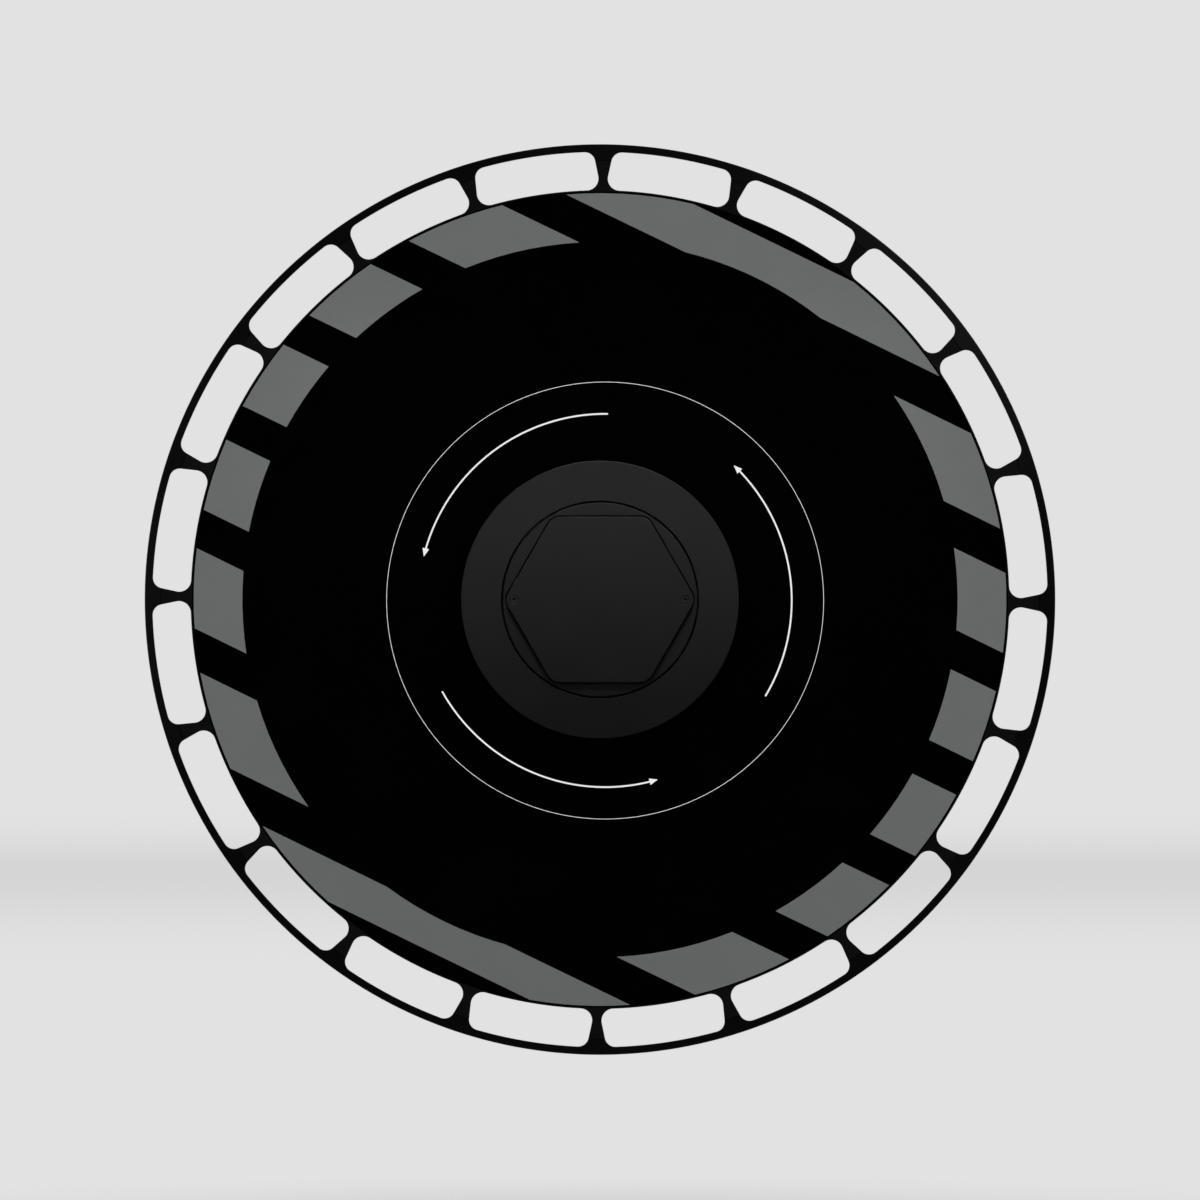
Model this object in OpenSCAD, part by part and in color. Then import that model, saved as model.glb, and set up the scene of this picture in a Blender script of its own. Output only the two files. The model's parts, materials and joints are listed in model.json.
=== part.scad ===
// Aero wheel cover: a slotted moulded disc, held in a road wheel's centre bore by three bolts
// that a turning hub pushes outwards. All sizes are millimetres.
// The pieces are drawn with the wheel's axis along z, and "out" is the distance along it from the
// hub's seat plane towards the front. facing_forward() then turns the front to -Y, with +Z up.

/* [Disc] */
// Outside diameter of the disc
disc_d = 480; // [440:1:540]
// Wall of the moulded disc
disc_wall = 2.5; // [2:0.1:3.5]
// Distance from the hub's seat plane to the front of the slotted ring
ring_front = 36; // [34:1:50]
// Height of the centre face above the slotted ring
dome_rise = 4; // [2:0.5:8]
// Width of the sloping lip at the outer edge
lip_w = 8.8; // [6:0.1:12]
// Drop of the lip from the slotted ring to the outer edge
lip_drop = 3; // [1:0.5:4]
// Rounding of the outer edge
edge_round = 0.8; // [0.4:0.1:1.5]
// Width of the rim outside the slots
rim_w = 4.1; // [3.9:0.1:6]
// Depth of the rim band behind the slotted ring's front
rim_depth = 7; // [6:0.5:10]

/* [Slots] */
// Number of air slots
slot_count = 20; // [16:1:24]
// Radial height of a slot
slot_h = 20.3; // [16:0.1:26]
// Narrowest width of the spoke between two slots
spoke_w = 4.96; // [4:0.02:8]
// Lean of a slot's end against its spoke, in degrees
slot_lean = 12; // [4:1:16]
// Corner radius at the slot's inner side
slot_in_round = 6.3; // [4:0.1:7]
// Corner radius at the slot's outer side
slot_out_round = 4.2; // [3:0.1:6]
// Turn of the slot pattern from upright, in degrees
slot_turn = -0.43; // [-4:0.01:4]

/* [Ribs] */
// Thickness of the ribs behind the disc
rib_t = 2; // [1.5:0.1:3]
// Height of a rib at its inner end
rib_h_in = 2; // [1.5:0.5:4]
// Height that the ribs stop short of the rim band's back
rib_setback = 0.5; // [0.3:0.1:1.5]

/* [Print] */
// Thickness of the printed film
film_t = 0.2; // [0.1:0.05:0.4]
// Plain web between the slots and the striped band
web_w = 1.6; // [1:0.1:4]
// Radial width of the striped band
band_w = 25.8; // [15:0.1:40]
// Distance from one dark stripe to the next
stripe_pitch = 58.2; // [40:0.1:80]
// Width of a dark stripe
stripe_gap = 19.8; // [10:0.1:30]
// Fall of the stripes towards the right, in degrees
stripe_angle = 25.95; // [0:0.05:60]
// Distance of the middle stripe from the centre
stripe_shift = -0.5; // [-10:0.1:10]
// Distance of the lowest grey field's end from the centre
grey_low = 205.7; // [190:0.1:210]
// Distance of the highest grey field's end from the centre
grey_high = 208.8; // [190:0.1:210]
// Distance from the hub plate's edge to the curved arrows
arrow_margin = 25.2; // [15:0.1:35]
// Width of an arrow's line
arrow_w = 1.08; // [0.6:0.02:3]
// Width and length of an arrow's head
arrow_head = 4.4; // [3:0.1:8]
// Angle that an arrow spans, in degrees
arrow_sweep = 77; // [40:1:100]
// Direction in which the first arrow starts, in degrees
arrow_start = 89.4; // [60:0.1:120]
// Distance from the arrows to the thin printed circle
circle_margin = 16.8; // [8:0.1:30]
// Width of the thin printed circle's line
circle_w = 0.5; // [0.3:0.05:2]
// Offset of the printed circle and arrows from the axis, to the right
print_right = 2.7; // [-5:0.1:5]
// Offset of the printed circle and arrows from the axis, downwards
print_down = 0.5; // [-5:0.1:5]

/* [Turning hub] */
// Size across the flats of the hexagonal cap
hex_af = 87; // [80:0.5:92]
// Rounding of the cap's corners
hex_round = 7; // [4:0.5:10]
// Gap round the cap in its pocket
hex_gap = 0.6; // [0.3:0.1:1]
// Depth of the cap's pocket in the lock disc
hex_seat = 2.5; // [2:0.1:3]
// Height of the cap in front of the lock disc
hex_proud = 3.5; // [2:0.1:6]
// Distance of the cap's screws from its rounded corners
cap_screw_inset = 4.2; // [3.5:0.1:6]
// Diameter of a cap screw's head
cap_screw_head = 4.5; // [4:0.1:5.5]
// Wall of the lock disc outside the pocket's corners
lock_wall = 1.25; // [1:0.05:4]
// Thickness of the lock disc
lock_t = 8.5; // [8:0.1:12]
// Gap between the lock disc and the hub plate
lock_gap = 0.9; // [0.6:0.1:1.5]
// Cross-section of the dust ring between the lock disc and the hub plate
seal_d = 2.3; // [2:0.1:2.6]
// Angle through which the hub turns, in degrees
lock_turn = 60; // [40:1:70]

/* [Hub plate and body] */
// Radial width of the hub plate's front ring
hub_ring_w = 21.1; // [18:0.1:30]
// Height of the hub plate in front of the disc
hub_plate_t = 5; // [4:0.5:8]
// Rounding of the hub plate's front edge
hub_plate_round = 1.2; // [0.5:0.1:2.5]
// Thickness of the hub body's flange
flange_t = 5; // [4:0.5:8]
// Diameter of the hub screws
hub_screw_d = 4; // [3:0.5:5]
// Number of hub screws
hub_screw_count = 6; // [4:1:8]
// Thickness of the rubber seat
seat_t = 1.5; // [1:0.5:3]
// Height of the edge seal behind the rim band
edge_seal_h = 2; // [1.6:0.1:4]

/* [Lock] */
// Diameter of the spigot in the wheel's centre bore
spigot_d = 66.4; // [62:0.1:74]
// Distance from the seat plane to the front of the bolts
bolt_depth = 8; // [6:0.5:14]
// Width of a bolt
bolt_w = 12; // [9:0.5:14]
// Thickness of a bolt
bolt_t = 6; // [5:0.5:8]
// Travel of a bolt
bolt_travel = 4; // [2:0.1:4.5]
// Diameter of the pin that drives a bolt
pin_d = 5; // [4:0.1:5.5]
// Diameter of the drive shaft
shaft_d = 20; // [16:0.5:20]
// Wall of the bushes round the drive shaft
bush_wall = 2; // [1:0.1:2]
// Thickness of the cam plate
cam_t = 4; // [3:0.5:6]

/* [Hidden] */
$fn = 96;

// Clearances
run_gap = 0.05;
fit_gap = 0.02;
slide_gap = 0.05;
register_gap = 0.15;
play = 0.3;

// Disc: distances out from the seat plane
face_front = ring_front + dome_rise;
face_back = face_front - disc_wall;
ring_back = ring_front - disc_wall;
edge_front = ring_front - lip_drop;
rim_back = ring_front - rim_depth;

// Disc: radii
disc_r = disc_d / 2;
lip_r = disc_r - lip_w;
slot_out_r = disc_r - rim_w;
slot_in_r = slot_out_r - slot_h;
band_out_r = slot_in_r - web_w;
band_in_r = band_out_r - band_w;
rim_ledge = 0.4;
rim_in_r = slot_out_r + rim_ledge;
rim_mid_r = (rim_in_r + disc_r) / 2;
lip_fall = lip_drop / lip_w;

// Turning hub: radii
function corner_reach(af, round) = (af / 2 - round) / cos(30) + round;
cap_reach = corner_reach(hex_af, hex_round);
pocket_af = hex_af + 2 * hex_gap;
pocket_round = hex_round + hex_gap;
lock_r = corner_reach(pocket_af, pocket_round) + lock_wall;
plate_bore_r = lock_r + lock_gap;
dust_groove_r = plate_bore_r - play - seal_d;
hub_plate_r = plate_bore_r + hub_ring_w;
cap_screw_r = cap_reach - cap_screw_inset;
cap_shank_r = cap_screw_head / 3.6;
cap_csk_h = 1.3;
cap_screw_grip = 4;
register_w = 1.8;
register_r = plate_bore_r + register_w;
disc_bore_r = register_r + register_gap;

// Turning hub: distances out
lock_front = face_front + hub_plate_t;
lock_back = lock_front - lock_t;
pocket_floor = lock_front - hex_seat;
cap_front = lock_front + hex_proud;
dust_ring_drop = 0.5;
dust_ring_out = (lock_back + pocket_floor) / 2 - dust_ring_drop;
washer_t = 1;
hub_floor = lock_back - washer_t - slide_gap;
dog_depth = 3;

// Hub body
flange_inset = 5;
flange_r = hub_plate_r - flange_inset;
flange_back = face_back - flange_t;
hub_screw_r = (disc_bore_r + flange_r) / 2;
hub_screw_grip = hub_plate_t - 1;
spigot_r = spigot_d / 2;
seat_w = 12.8;
seat_inset = 1;
shoulder_r = spigot_r + seat_w;
shoulder_t = 5.5;
relief = 1;
neck_wall = 5;
shoulder_step = 8;
neck_r = shoulder_r - shoulder_step;
pocket_out_r = neck_r - neck_wall;
pocket_floor_t = 1;
pocket_floor_out = seat_t + shoulder_t + pocket_floor_t;
gusset_t = 4;
gusset_drop = 18;
gusset_inset = 3;
screw_play = 0.5;
shoulder_cone = 3;
neck_flare_w = 8;
neck_flare_h = 6;

// Shaft and bushes
shaft_r = shaft_d / 2;
bush_r = shaft_r + run_gap + bush_wall;
bush_bore_r = bush_r + fit_gap;
bush_flange_w = 3;
bush_flange_r = bush_r + bush_flange_w;
bush_flange_t = 1.5;
bush_l = 14;
boss_wall = 4;
boss_r = bush_flange_r + fit_gap + boss_wall;
dog_step = 2;
dog_r = shaft_r - dog_step;
dog_flat = dog_r - dog_step;
shaft_screw_d = 6;
shaft_screw_l = 14;
shaft_drill_end = 3;

// Thrust washer and stop pin
washer_inset = 3;
washer_w = 10;
washer_in_r = pocket_out_r + washer_inset;
washer_out_r = washer_in_r + washer_w;
stop_pin_r = 2;
stop_path_r = (boss_r + pocket_out_r) / 2;
stop_slot_depth = 3;
stop_pin_grip = 10;
stop_boss_wall = 3;

// Spigot, from the seat plane into the wheel: distances out are negative
bolt_front = -bolt_depth;
bolt_back = bolt_front - bolt_t;
cam_front = bolt_back - 4 * slide_gap;
cam_back = cam_front - cam_t;
clip_t = 1.2;
clip_w = 2.5;
clip_groove = 0.8;
clip_play = 0.1;
shaft_clip_back = cam_back - slide_gap - clip_t;
shaft_tail = 1.5;
shaft_end = shaft_clip_back - shaft_tail;
cover_t = 2;
cover_gap = 0.4;
cover_front = shaft_end - cover_gap;
cover_back = cover_front - cover_t;
cover_clip_back = cover_back - clip_t;
end_lip = 1;
spigot_end = cover_clip_back - end_lip;
spigot_chamfer = 1;

// Spigot: radii
skirt_w = 4.2;
cam_bore_r = spigot_r - skirt_w;
cam_r = cam_bore_r - play;
cover_step = 1.2;
cover_bore_r = cam_bore_r + cover_step;
pin_r = pin_d / 2;
scroll_half_w = pin_r + 0.25;
cam_rim = 2.95;
pin_rest_r = cam_r - cam_rim - bolt_travel - scroll_half_w;
slot_wall = 1.4;
slot_rest_play = 0.7;
bolt_slot_in_r = bush_bore_r + slot_wall;
bolt_in_r = bolt_slot_in_r + slot_rest_play;
bolt_sink = 0.2;
bolt_out_r = spigot_r - bolt_sink;

// Turns the front of a piece from +z to -Y, with +Z up
module facing_forward() {
    rotate([90, 0, 0]) children();
}

// Copies on a circle, the first in the direction given
module around(count, first = 0) {
    for (k = [0:count - 1]) rotate(first + 360 * k / count) children();
}

// A ring of rectangular section
module ring(r_in, r_out, from, to) {
    translate([0, 0, from]) linear_extrude(to - from) difference() {
        circle(r_out);
        circle(r_in);
    }
}

// A round bar along the axis
module bar(r, from, to) {
    translate([0, 0, from]) cylinder(r = r, h = to - from);
}

// A hexagon with two corners to the sides, and round corners
module rounded_hexagon(af, round) {
    corner = (af / 2 - round) / cos(30);
    side = (af / 2 - round) * 2 * tan(30);
    for (k = [0:2]) rotate(60 * k) square([side, af], center = true);
    for (k = [0:5]) rotate(60 * k) translate([corner, 0]) circle(round);
}

// A round shape with two flats
module double_flat(r, flat) {
    intersection() {
        circle(r);
        square([2 * r + 2, 2 * flat], center = true);
    }
}

// Slot corners, in a frame whose x runs out along the middle of a spoke and whose y points into the slot.
// The inner corner touches the slot's inner arc and leaves half the spoke's width. The slot's end leaves
// it at slot_lean, and the outer corner touches that end and the slot's outer arc.
end_dir = [cos(slot_lean), sin(slot_lean)];
end_normal = [sin(slot_lean), -cos(slot_lean)];
in_corner_y = spoke_w / 2 + slot_in_round;
in_corner = [sqrt(pow(slot_in_r + slot_in_round, 2) - pow(in_corner_y, 2)), in_corner_y];
end_start = in_corner + slot_in_round * end_normal;
out_line = end_start - slot_out_round * end_normal;
out_reach = slot_out_r - slot_out_round;
out_dot = out_line * end_dir;
out_corner = out_line + (sqrt(out_dot * out_dot - out_line * out_line + out_reach * out_reach) - out_dot)
    * end_dir;

// Points on an arc
function arc_points(centre, r, from, to, steps = 5) =
    [for (k = [0:steps]) let (angle = from + (to - from) * k / steps) centre + r * [cos(angle), sin(angle)]];

function direction(p) = atan2(p.y, p.x);
function turned(p, angle) = [p.x * cos(angle) - p.y * sin(angle), p.x * sin(angle) + p.y * cos(angle)];

// One slot's outline, with its middle on the x axis: its two ends, cut by its inner and outer arcs
module slot_outline() {
    overcut = 0.1;
    end = concat(
        [in_corner * (1 - (slot_in_round + overcut) / norm(in_corner))],
        arc_points(in_corner, slot_in_round, direction(in_corner) - 170, slot_lean - 90),
        arc_points(out_corner, slot_out_round, slot_lean - 90, direction(out_corner) - 10),
        [out_corner * (1 + (slot_out_round + overcut) / norm(out_corner)), 1.1 * out_corner]);
    side = [for (p = end) turned(p, -180 / slot_count)];
    intersection() {
        difference() {
            circle(slot_out_r);
            circle(slot_in_r);
        }
        polygon(concat(side, [for (k = [len(side) - 1:-1:0]) [side[k].x, -side[k].y]]));
    }
}

seal_root_w = 1.5;
seal_root_h = 1.5;
seal_nose_r = 1.5;
groove_in_r = rim_mid_r - seal_root_w / 2 - run_gap;
groove_out_r = rim_mid_r + seal_root_w / 2 + run_gap;
groove_out = rim_back + seal_root_h + run_gap;

// Section of the disc's wall, its lip, and its rim band with the groove for the edge seal
module wall_section() {
    lip_l = norm([lip_w, lip_drop]);
    round_r = disc_r - edge_round;
    round_out = edge_front + edge_round * lip_fall - edge_round * lip_l / lip_w;
    polygon(concat(
        [[disc_bore_r, face_front], [band_in_r, face_front], [band_out_r, ring_front], [lip_r, ring_front]],
        arc_points([round_r, round_out], edge_round, 90 - atan(lip_fall), 0),
        [[disc_r, rim_back], [groove_out_r, rim_back], [groove_out_r, groove_out], [groove_in_r, groove_out],
            [groove_in_r, rim_back], [rim_in_r, rim_back],
            [rim_in_r, ring_back - lip_fall * (rim_in_r - lip_r)], [lip_r, ring_back],
            [band_out_r, ring_back], [band_in_r, face_back], [disc_bore_r, face_back]]));
}

// Ribs run straight from the hub plate to the inside of the rim band
rib_in_r = hub_plate_r + 3;
rib_out_r = (rim_in_r + groove_in_r) / 2;
rib_out_back = rim_back + rib_setback;
rib_in_back = face_back - rib_h_in;
mid_ring_r = (rib_in_r + band_in_r) / 2;

// Section of what ribs fill between two radii, up to the middle of the disc's wall
module rib_section(r_from, r_to) {
    middle = disc_wall / 2;
    intersection() {
        translate([r_from, 0]) square([r_to - r_from, face_front]);
        polygon([[rib_in_r, face_back + middle], [band_in_r, face_back + middle],
            [band_out_r, ring_back + middle], [lip_r, ring_back + middle],
            [rib_out_r, ring_back + middle - lip_fall * (rib_out_r - lip_r)],
            [rib_out_r, rib_out_back], [rib_in_r, rib_in_back]]);
    }
}

// The moulded disc: a slotted wall with a rim band, and radial and round ribs behind it
module aero_disc() {
    color([0.02, 0.02, 0.022]) facing_forward() {
        difference() {
            rotate_extrude() wall_section();
            around(slot_count, 90 + slot_turn + 180 / slot_count)
                translate([0, 0, rim_back - 1]) linear_extrude(rim_depth + 2) slot_outline();
            around(hub_screw_count, 90) translate([hub_screw_r, 0, 0])
                bar((hub_screw_d + screw_play) / 2, face_back - 1, face_front + 1);
        }
        around(slot_count, 90 + slot_turn) rotate([90, 0, 0]) linear_extrude(rib_t, center = true)
            rib_section(rib_in_r, rib_out_r);
        rotate_extrude() rib_section(band_out_r - rib_t, band_out_r);
        rotate_extrude() rib_section(mid_ring_r - rib_t / 2, mid_ring_r + rib_t / 2);
    }
}

// Grey fields of film on the sloping band, cut by the parallel dark stripes
module stripe_film() {
    fields = ceil(band_out_r / stripe_pitch);
    color([0.4, 0.405, 0.4]) facing_forward() intersection() {
        rotate_extrude() polygon([[band_in_r, face_front], [band_in_r, face_front + film_t],
            [band_out_r, ring_front + film_t], [band_out_r, ring_front]]);
        rotate(-stripe_angle) for (k = [-fields:fields - 1]) {
            low = max(stripe_shift + k * stripe_pitch + stripe_gap / 2, -grey_low);
            high = min(stripe_shift + (k + 1) * stripe_pitch - stripe_gap / 2, grey_high);
            if (high > low) translate([-disc_r, low, 0]) cube([disc_d, high - low, disc_d]);
        }
    }
}

// Carries a printed figure to the centre face, at the print's own centre
module on_face() {
    facing_forward() translate([print_right, -print_down, face_front]) children();
}

arrow_r = hub_plate_r + arrow_margin;
circle_r = arrow_r + circle_margin;

// Thin printed circle
module circle_film() {
    color("white") on_face() ring(circle_r - circle_w / 2, circle_r + circle_w / 2, 0, film_t);
}

// One curved arrow, counter-clockwise from the front
module arrow_film(number) {
    head_angle = 2 * asin(arrow_head / 2 / arrow_r);
    color("white") on_face() rotate(arrow_start + 120 * (number - 1)) {
        rotate_extrude(angle = arrow_sweep - head_angle)
            translate([arrow_r - arrow_w / 2, 0]) square([arrow_w, film_t]);
        translate([arrow_r, 0, 0]) cylinder(r = arrow_w / 2, h = film_t);
        rotate(arrow_sweep - head_angle) translate([arrow_r, 0, 0]) rotate(head_angle / 2)
            linear_extrude(film_t)
                polygon([[-arrow_head / 2, 0], [0, -0.1], [arrow_head / 2, 0], [0, arrow_head]]);
    }
}

// Rubber seal in the back of the rim band, with a round nose towards the wheel
module edge_seal() {
    root = seal_root_w / 2;
    color([0.06, 0.06, 0.06]) facing_forward() rotate_extrude() translate([rim_mid_r, rim_back])
        polygon(concat([[root, 0], [root, seal_root_h], [-root, seal_root_h], [-root, 0], [-seal_nose_r, 0]],
            arc_points([0, seal_nose_r - edge_seal_h], seal_nose_r, 180, 360, 8), [[seal_nose_r, 0]]));
}

// Front ring of the hub: clamps the disc and centres it on a register
module hub_plate() {
    round_r = hub_plate_r - hub_plate_round;
    round_out = lock_front - hub_plate_round;
    color([0.13, 0.13, 0.135]) facing_forward() difference() {
        rotate_extrude() {
            polygon([[plate_bore_r, face_back], [register_r, face_back], [register_r, face_front],
                [hub_plate_r, face_front], [hub_plate_r, round_out], [round_r, round_out],
                [round_r, lock_front], [plate_bore_r, lock_front]]);
            translate([round_r, round_out]) circle(hub_plate_round);
        }
        around(hub_screw_count, 90) translate([hub_screw_r, 0, 0])
            bar(hub_screw_d / 2 + fit_gap, face_front - 1, face_front + hub_screw_grip);
    }
}

// Section of the hub body outside its bore: spigot, seat shoulder, neck and flange
module body_section() {
    polygon([[bush_bore_r, bolt_back], [cam_bore_r, bolt_back], [cam_bore_r, cover_front],
        [cover_bore_r, cover_front], [cover_bore_r, spigot_end], [spigot_r - spigot_chamfer, spigot_end],
        [spigot_r, spigot_end + spigot_chamfer], [spigot_r, 0], [spigot_r - relief, 0],
        [spigot_r - relief, seat_t], [shoulder_r, seat_t], [shoulder_r, seat_t + shoulder_t],
        [neck_r, seat_t + shoulder_t + shoulder_cone], [neck_r, flange_back - neck_flare_h],
        [neck_r + neck_flare_w, flange_back],
        [flange_r, flange_back], [flange_r, face_back], [plate_bore_r, face_back],
        [plate_bore_r, hub_floor], [bush_bore_r, hub_floor]]);
}

// Turned and milled hub body: carries the shaft, guides the bolts and seats on the wheel
module hub_body() {
    color([0.32, 0.32, 0.33]) facing_forward() difference() {
        union() {
            rotate_extrude() body_section();
            // Gussets between the neck and the flange, midway between the screws
            around(hub_screw_count, 90 + 180 / hub_screw_count) translate([0, gusset_t / 2, 0])
                rotate([90, 0, 0]) linear_extrude(gusset_t)
                    polygon([[neck_r - 1, flange_back + 1], [neck_r - 1, flange_back - gusset_drop],
                        [neck_r, flange_back - gusset_drop], [flange_r - gusset_inset, flange_back],
                        [flange_r - gusset_inset, flange_back + 1]]);
        }
        // Cored pocket, split by ribs, with a boss for the stop pin
        difference() {
            ring(boss_r, pocket_out_r, pocket_floor_out, hub_floor + 1);
            around(hub_screw_count, 90) translate([0, -gusset_t / 2, 0]) cube([neck_r, gusset_t, disc_d]);
            rotate(90) translate([stop_path_r, 0, 0]) bar(stop_pin_r + stop_boss_wall, 0, hub_floor + 2);
        }
        // Counterbore for the front bush's flange
        bar(bush_flange_r + fit_gap, hub_floor - bush_flange_t, hub_floor + 1);
        rotate(90) translate([stop_path_r, 0, 0])
            bar(stop_pin_r + fit_gap, hub_floor - stop_pin_grip, hub_floor + 1);
        // Groove for the cover's circlip
        bar(cover_bore_r + clip_groove, cover_clip_back - fit_gap, cover_back);
        // Guide slots of the bolts
        around(3, 90) translate([bolt_slot_in_r, -bolt_w / 2, bolt_back])
            cube([spigot_r, bolt_w, bolt_t]);
        around(hub_screw_count, 90) translate([hub_screw_r, 0, 0])
            bar((hub_screw_d + screw_play) / 2, flange_back - 1, face_back + 1);
    }
}

// Socket-head screws that clamp the disc between the hub body and the hub plate
module hub_screws() {
    shank_r = hub_screw_d / 2;
    head_r = 0.875 * hub_screw_d;
    head_back = flange_back - hub_screw_d;
    tip = face_front + hub_screw_grip - 0.5;
    bevel = 0.1 * hub_screw_d;
    color([0.45, 0.45, 0.46]) facing_forward() around(hub_screw_count, 90)
        translate([hub_screw_r, 0, 0]) difference() {
            rotate_extrude() polygon([[0, head_back], [head_r - bevel, head_back],
                [head_r, head_back + bevel], [head_r, flange_back], [shank_r, flange_back],
                [shank_r, tip - bevel], [shank_r - bevel, tip], [0, tip]]);
            translate([0, 0, head_back - 1])
                cylinder(d = 0.866 * hub_screw_d, h = 1 + hub_screw_d / 2, $fn = 6);
        }
}

// Rubber ring between the hub's shoulder and the wheel
module seat_pad() {
    color([0.07, 0.07, 0.07]) facing_forward()
        ring(spigot_r + seat_inset + play, shoulder_r - seat_inset, 0, seat_t);
}

// Plain bush, with a flange if one is asked for
module bush(from, to, flange) {
    ring(shaft_r + run_gap, bush_r, from, to);
    if (flange) ring(shaft_r + run_gap, bush_flange_r, to - bush_flange_t, to);
}

module front_bush() {
    color([0.72, 0.55, 0.3]) facing_forward() bush(hub_floor - bush_l, hub_floor, true);
}

module rear_bush() {
    color([0.72, 0.55, 0.3]) facing_forward() bush(bolt_front, bolt_front + bush_l, false);
}

// Low-friction washer that the lock disc turns on
module thrust_washer() {
    color([0.85, 0.84, 0.78]) facing_forward()
        ring(washer_in_r, washer_out_r, hub_floor, hub_floor + washer_t);
}

// Pin that stops the lock disc at both ends of its turn
module stop_pin() {
    color([0.55, 0.55, 0.56]) facing_forward() rotate(90) translate([stop_path_r, 0, 0])
        bar(stop_pin_r, hub_floor - stop_pin_grip, lock_back + stop_slot_depth - 0.5);
}

// Dished plate that closes the back of the spigot
module rear_cover() {
    rim = 5;
    dish = 0.8;
    edge_r = cover_bore_r - register_gap;
    color([0.3, 0.3, 0.31]) facing_forward() rotate_extrude()
        polygon([[0, cover_front], [edge_r, cover_front], [edge_r, cover_back], [edge_r - rim, cover_back],
            [edge_r - rim - dish, cover_back + dish], [0, cover_back + dish]]);
}

// Outline of a circlip whose plain edge has radius r: inside = 1 springs outwards, inside = -1 inwards
module circlip_outline(r, w, inside) {
    ear_r = 1.9;
    ear_hole_r = 0.8;
    ear_at = r - inside * (ear_r + 0.6);
    ear_angle = asin((ear_r + 0.7) / ear_at);
    difference() {
        union() {
            difference() {
                circle(inside > 0 ? r : r + w);
                circle(inside > 0 ? r - w : r);
                polygon([[0, 0], 2 * r * [cos(ear_angle), -sin(ear_angle)],
                    2 * r * [cos(ear_angle), sin(ear_angle)]]);
            }
            for (side = [-1, 1]) rotate(side * ear_angle) translate([ear_at, 0]) circle(ear_r);
        }
        for (side = [-1, 1]) rotate(side * ear_angle) translate([ear_at, 0]) circle(ear_hole_r);
    }
}

module cover_circlip() {
    color([0.5, 0.5, 0.5]) facing_forward() translate([0, 0, cover_clip_back]) rotate(-90)
        linear_extrude(clip_t - fit_gap)
            circlip_outline(cover_bore_r + clip_groove - clip_play, clip_w, 1);
}

// Slot with round ends that turns through lock_turn, from one radius to another
module curved_slot(r_start, r_end, half_w) {
    steps = 16;
    path = [for (k = [0:steps]) let (angle = lock_turn * k / steps) [cos(angle), sin(angle)]];
    function reach(k) = r_start + (r_end - r_start) * k / steps;
    polygon(concat([for (k = [0:steps]) (reach(k) + half_w) * path[k]],
        [for (k = [steps:-1:0]) (reach(k) - half_w) * path[k]]));
    for (k = [0, steps]) translate(reach(k) * path[k]) circle(half_w);
}

// Round turning disc, flush with the hub plate, with a hexagonal pocket in its front
module lock_disc() {
    groove_half = seal_d / 2 + 0.1;
    slot_half = stop_pin_r + play;
    bevel = 0.4;
    color([0.13, 0.13, 0.135]) facing_forward() difference() {
        rotate_extrude() polygon([[0, lock_back], [lock_r - bevel, lock_back], [lock_r, lock_back + bevel],
            [lock_r, dust_ring_out - groove_half], [dust_groove_r, dust_ring_out - groove_half],
            [dust_groove_r, dust_ring_out + groove_half], [lock_r, dust_ring_out + groove_half],
            [lock_r, lock_front - bevel / 2], [lock_r - bevel / 2, lock_front], [0, lock_front]]);
        translate([0, 0, pocket_floor]) linear_extrude(hex_seat + 1)
            rounded_hexagon(pocket_af, pocket_round);
        translate([0, 0, lock_back - 1]) linear_extrude(dog_depth + 1)
            double_flat(dog_r + slide_gap, dog_flat + slide_gap);
        bar(shaft_screw_d / 2 + 0.2, lock_back, lock_front);
        for (side = [0, 180]) rotate(side) translate([cap_screw_r, 0, 0])
            bar(cap_shank_r + fit_gap, pocket_floor - cap_screw_grip - 0.5, lock_front);
        // Curved slot over the stop pin
        rotate(90) translate([0, 0, lock_back - 1]) linear_extrude(stop_slot_depth + 1)
            curved_slot(stop_path_r, stop_path_r, slot_half);
    }
}

// Rubber dust ring in the lock disc's groove
module dust_ring() {
    color([0.05, 0.05, 0.05]) facing_forward() rotate_extrude()
        translate([dust_groove_r + fit_gap + seal_d / 2, dust_ring_out]) circle(seal_d / 2);
}

// Hexagonal cap: what the hub is turned by
module hex_cap() {
    corner_bevel = 0.9;
    color([0.13, 0.13, 0.135]) facing_forward() difference() {
        intersection() {
            translate([0, 0, pocket_floor]) linear_extrude(cap_front - pocket_floor)
                rounded_hexagon(hex_af, hex_round);
            rotate_extrude() polygon([[0, pocket_floor], [cap_reach + 1, pocket_floor],
                [cap_reach + 1, cap_front - corner_bevel], [cap_reach, cap_front - corner_bevel / 2],
                [cap_reach - corner_bevel, cap_front], [0, cap_front]]);
        }
        bar(shaft_screw_d + 1, pocket_floor - 1, pocket_floor + shaft_screw_d / 2 + 2 * play);
        for (side = [0, 180]) rotate(side) translate([cap_screw_r, 0, 0]) {
            bar(cap_shank_r + register_gap, pocket_floor - 1, cap_front + 1);
            translate([0, 0, cap_front - cap_csk_h])
                cylinder(r1 = cap_shank_r + register_gap, r2 = cap_screw_head / 2 + 0.1, h = cap_csk_h);
        }
    }
}

// Countersunk screws of the hexagonal cap
module cap_screws() {
    sink = 0.15;
    bevel = 0.3;
    end = pocket_floor - cap_screw_grip;
    color([0.2, 0.2, 0.21]) facing_forward() for (side = [0, 180]) rotate(side)
        translate([cap_screw_r, 0, 0]) difference() {
            rotate_extrude() polygon([[0, end], [cap_shank_r - bevel, end], [cap_shank_r, end + bevel],
                [cap_shank_r, cap_front - cap_csk_h], [cap_screw_head / 2 - sink / 2, cap_front - sink],
                [0, cap_front - sink]]);
            translate([0, 0, cap_front - cap_csk_h + 0.1])
                cylinder(d = cap_screw_head / 2.6, h = cap_csk_h, $fn = 6);
        }
}

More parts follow.
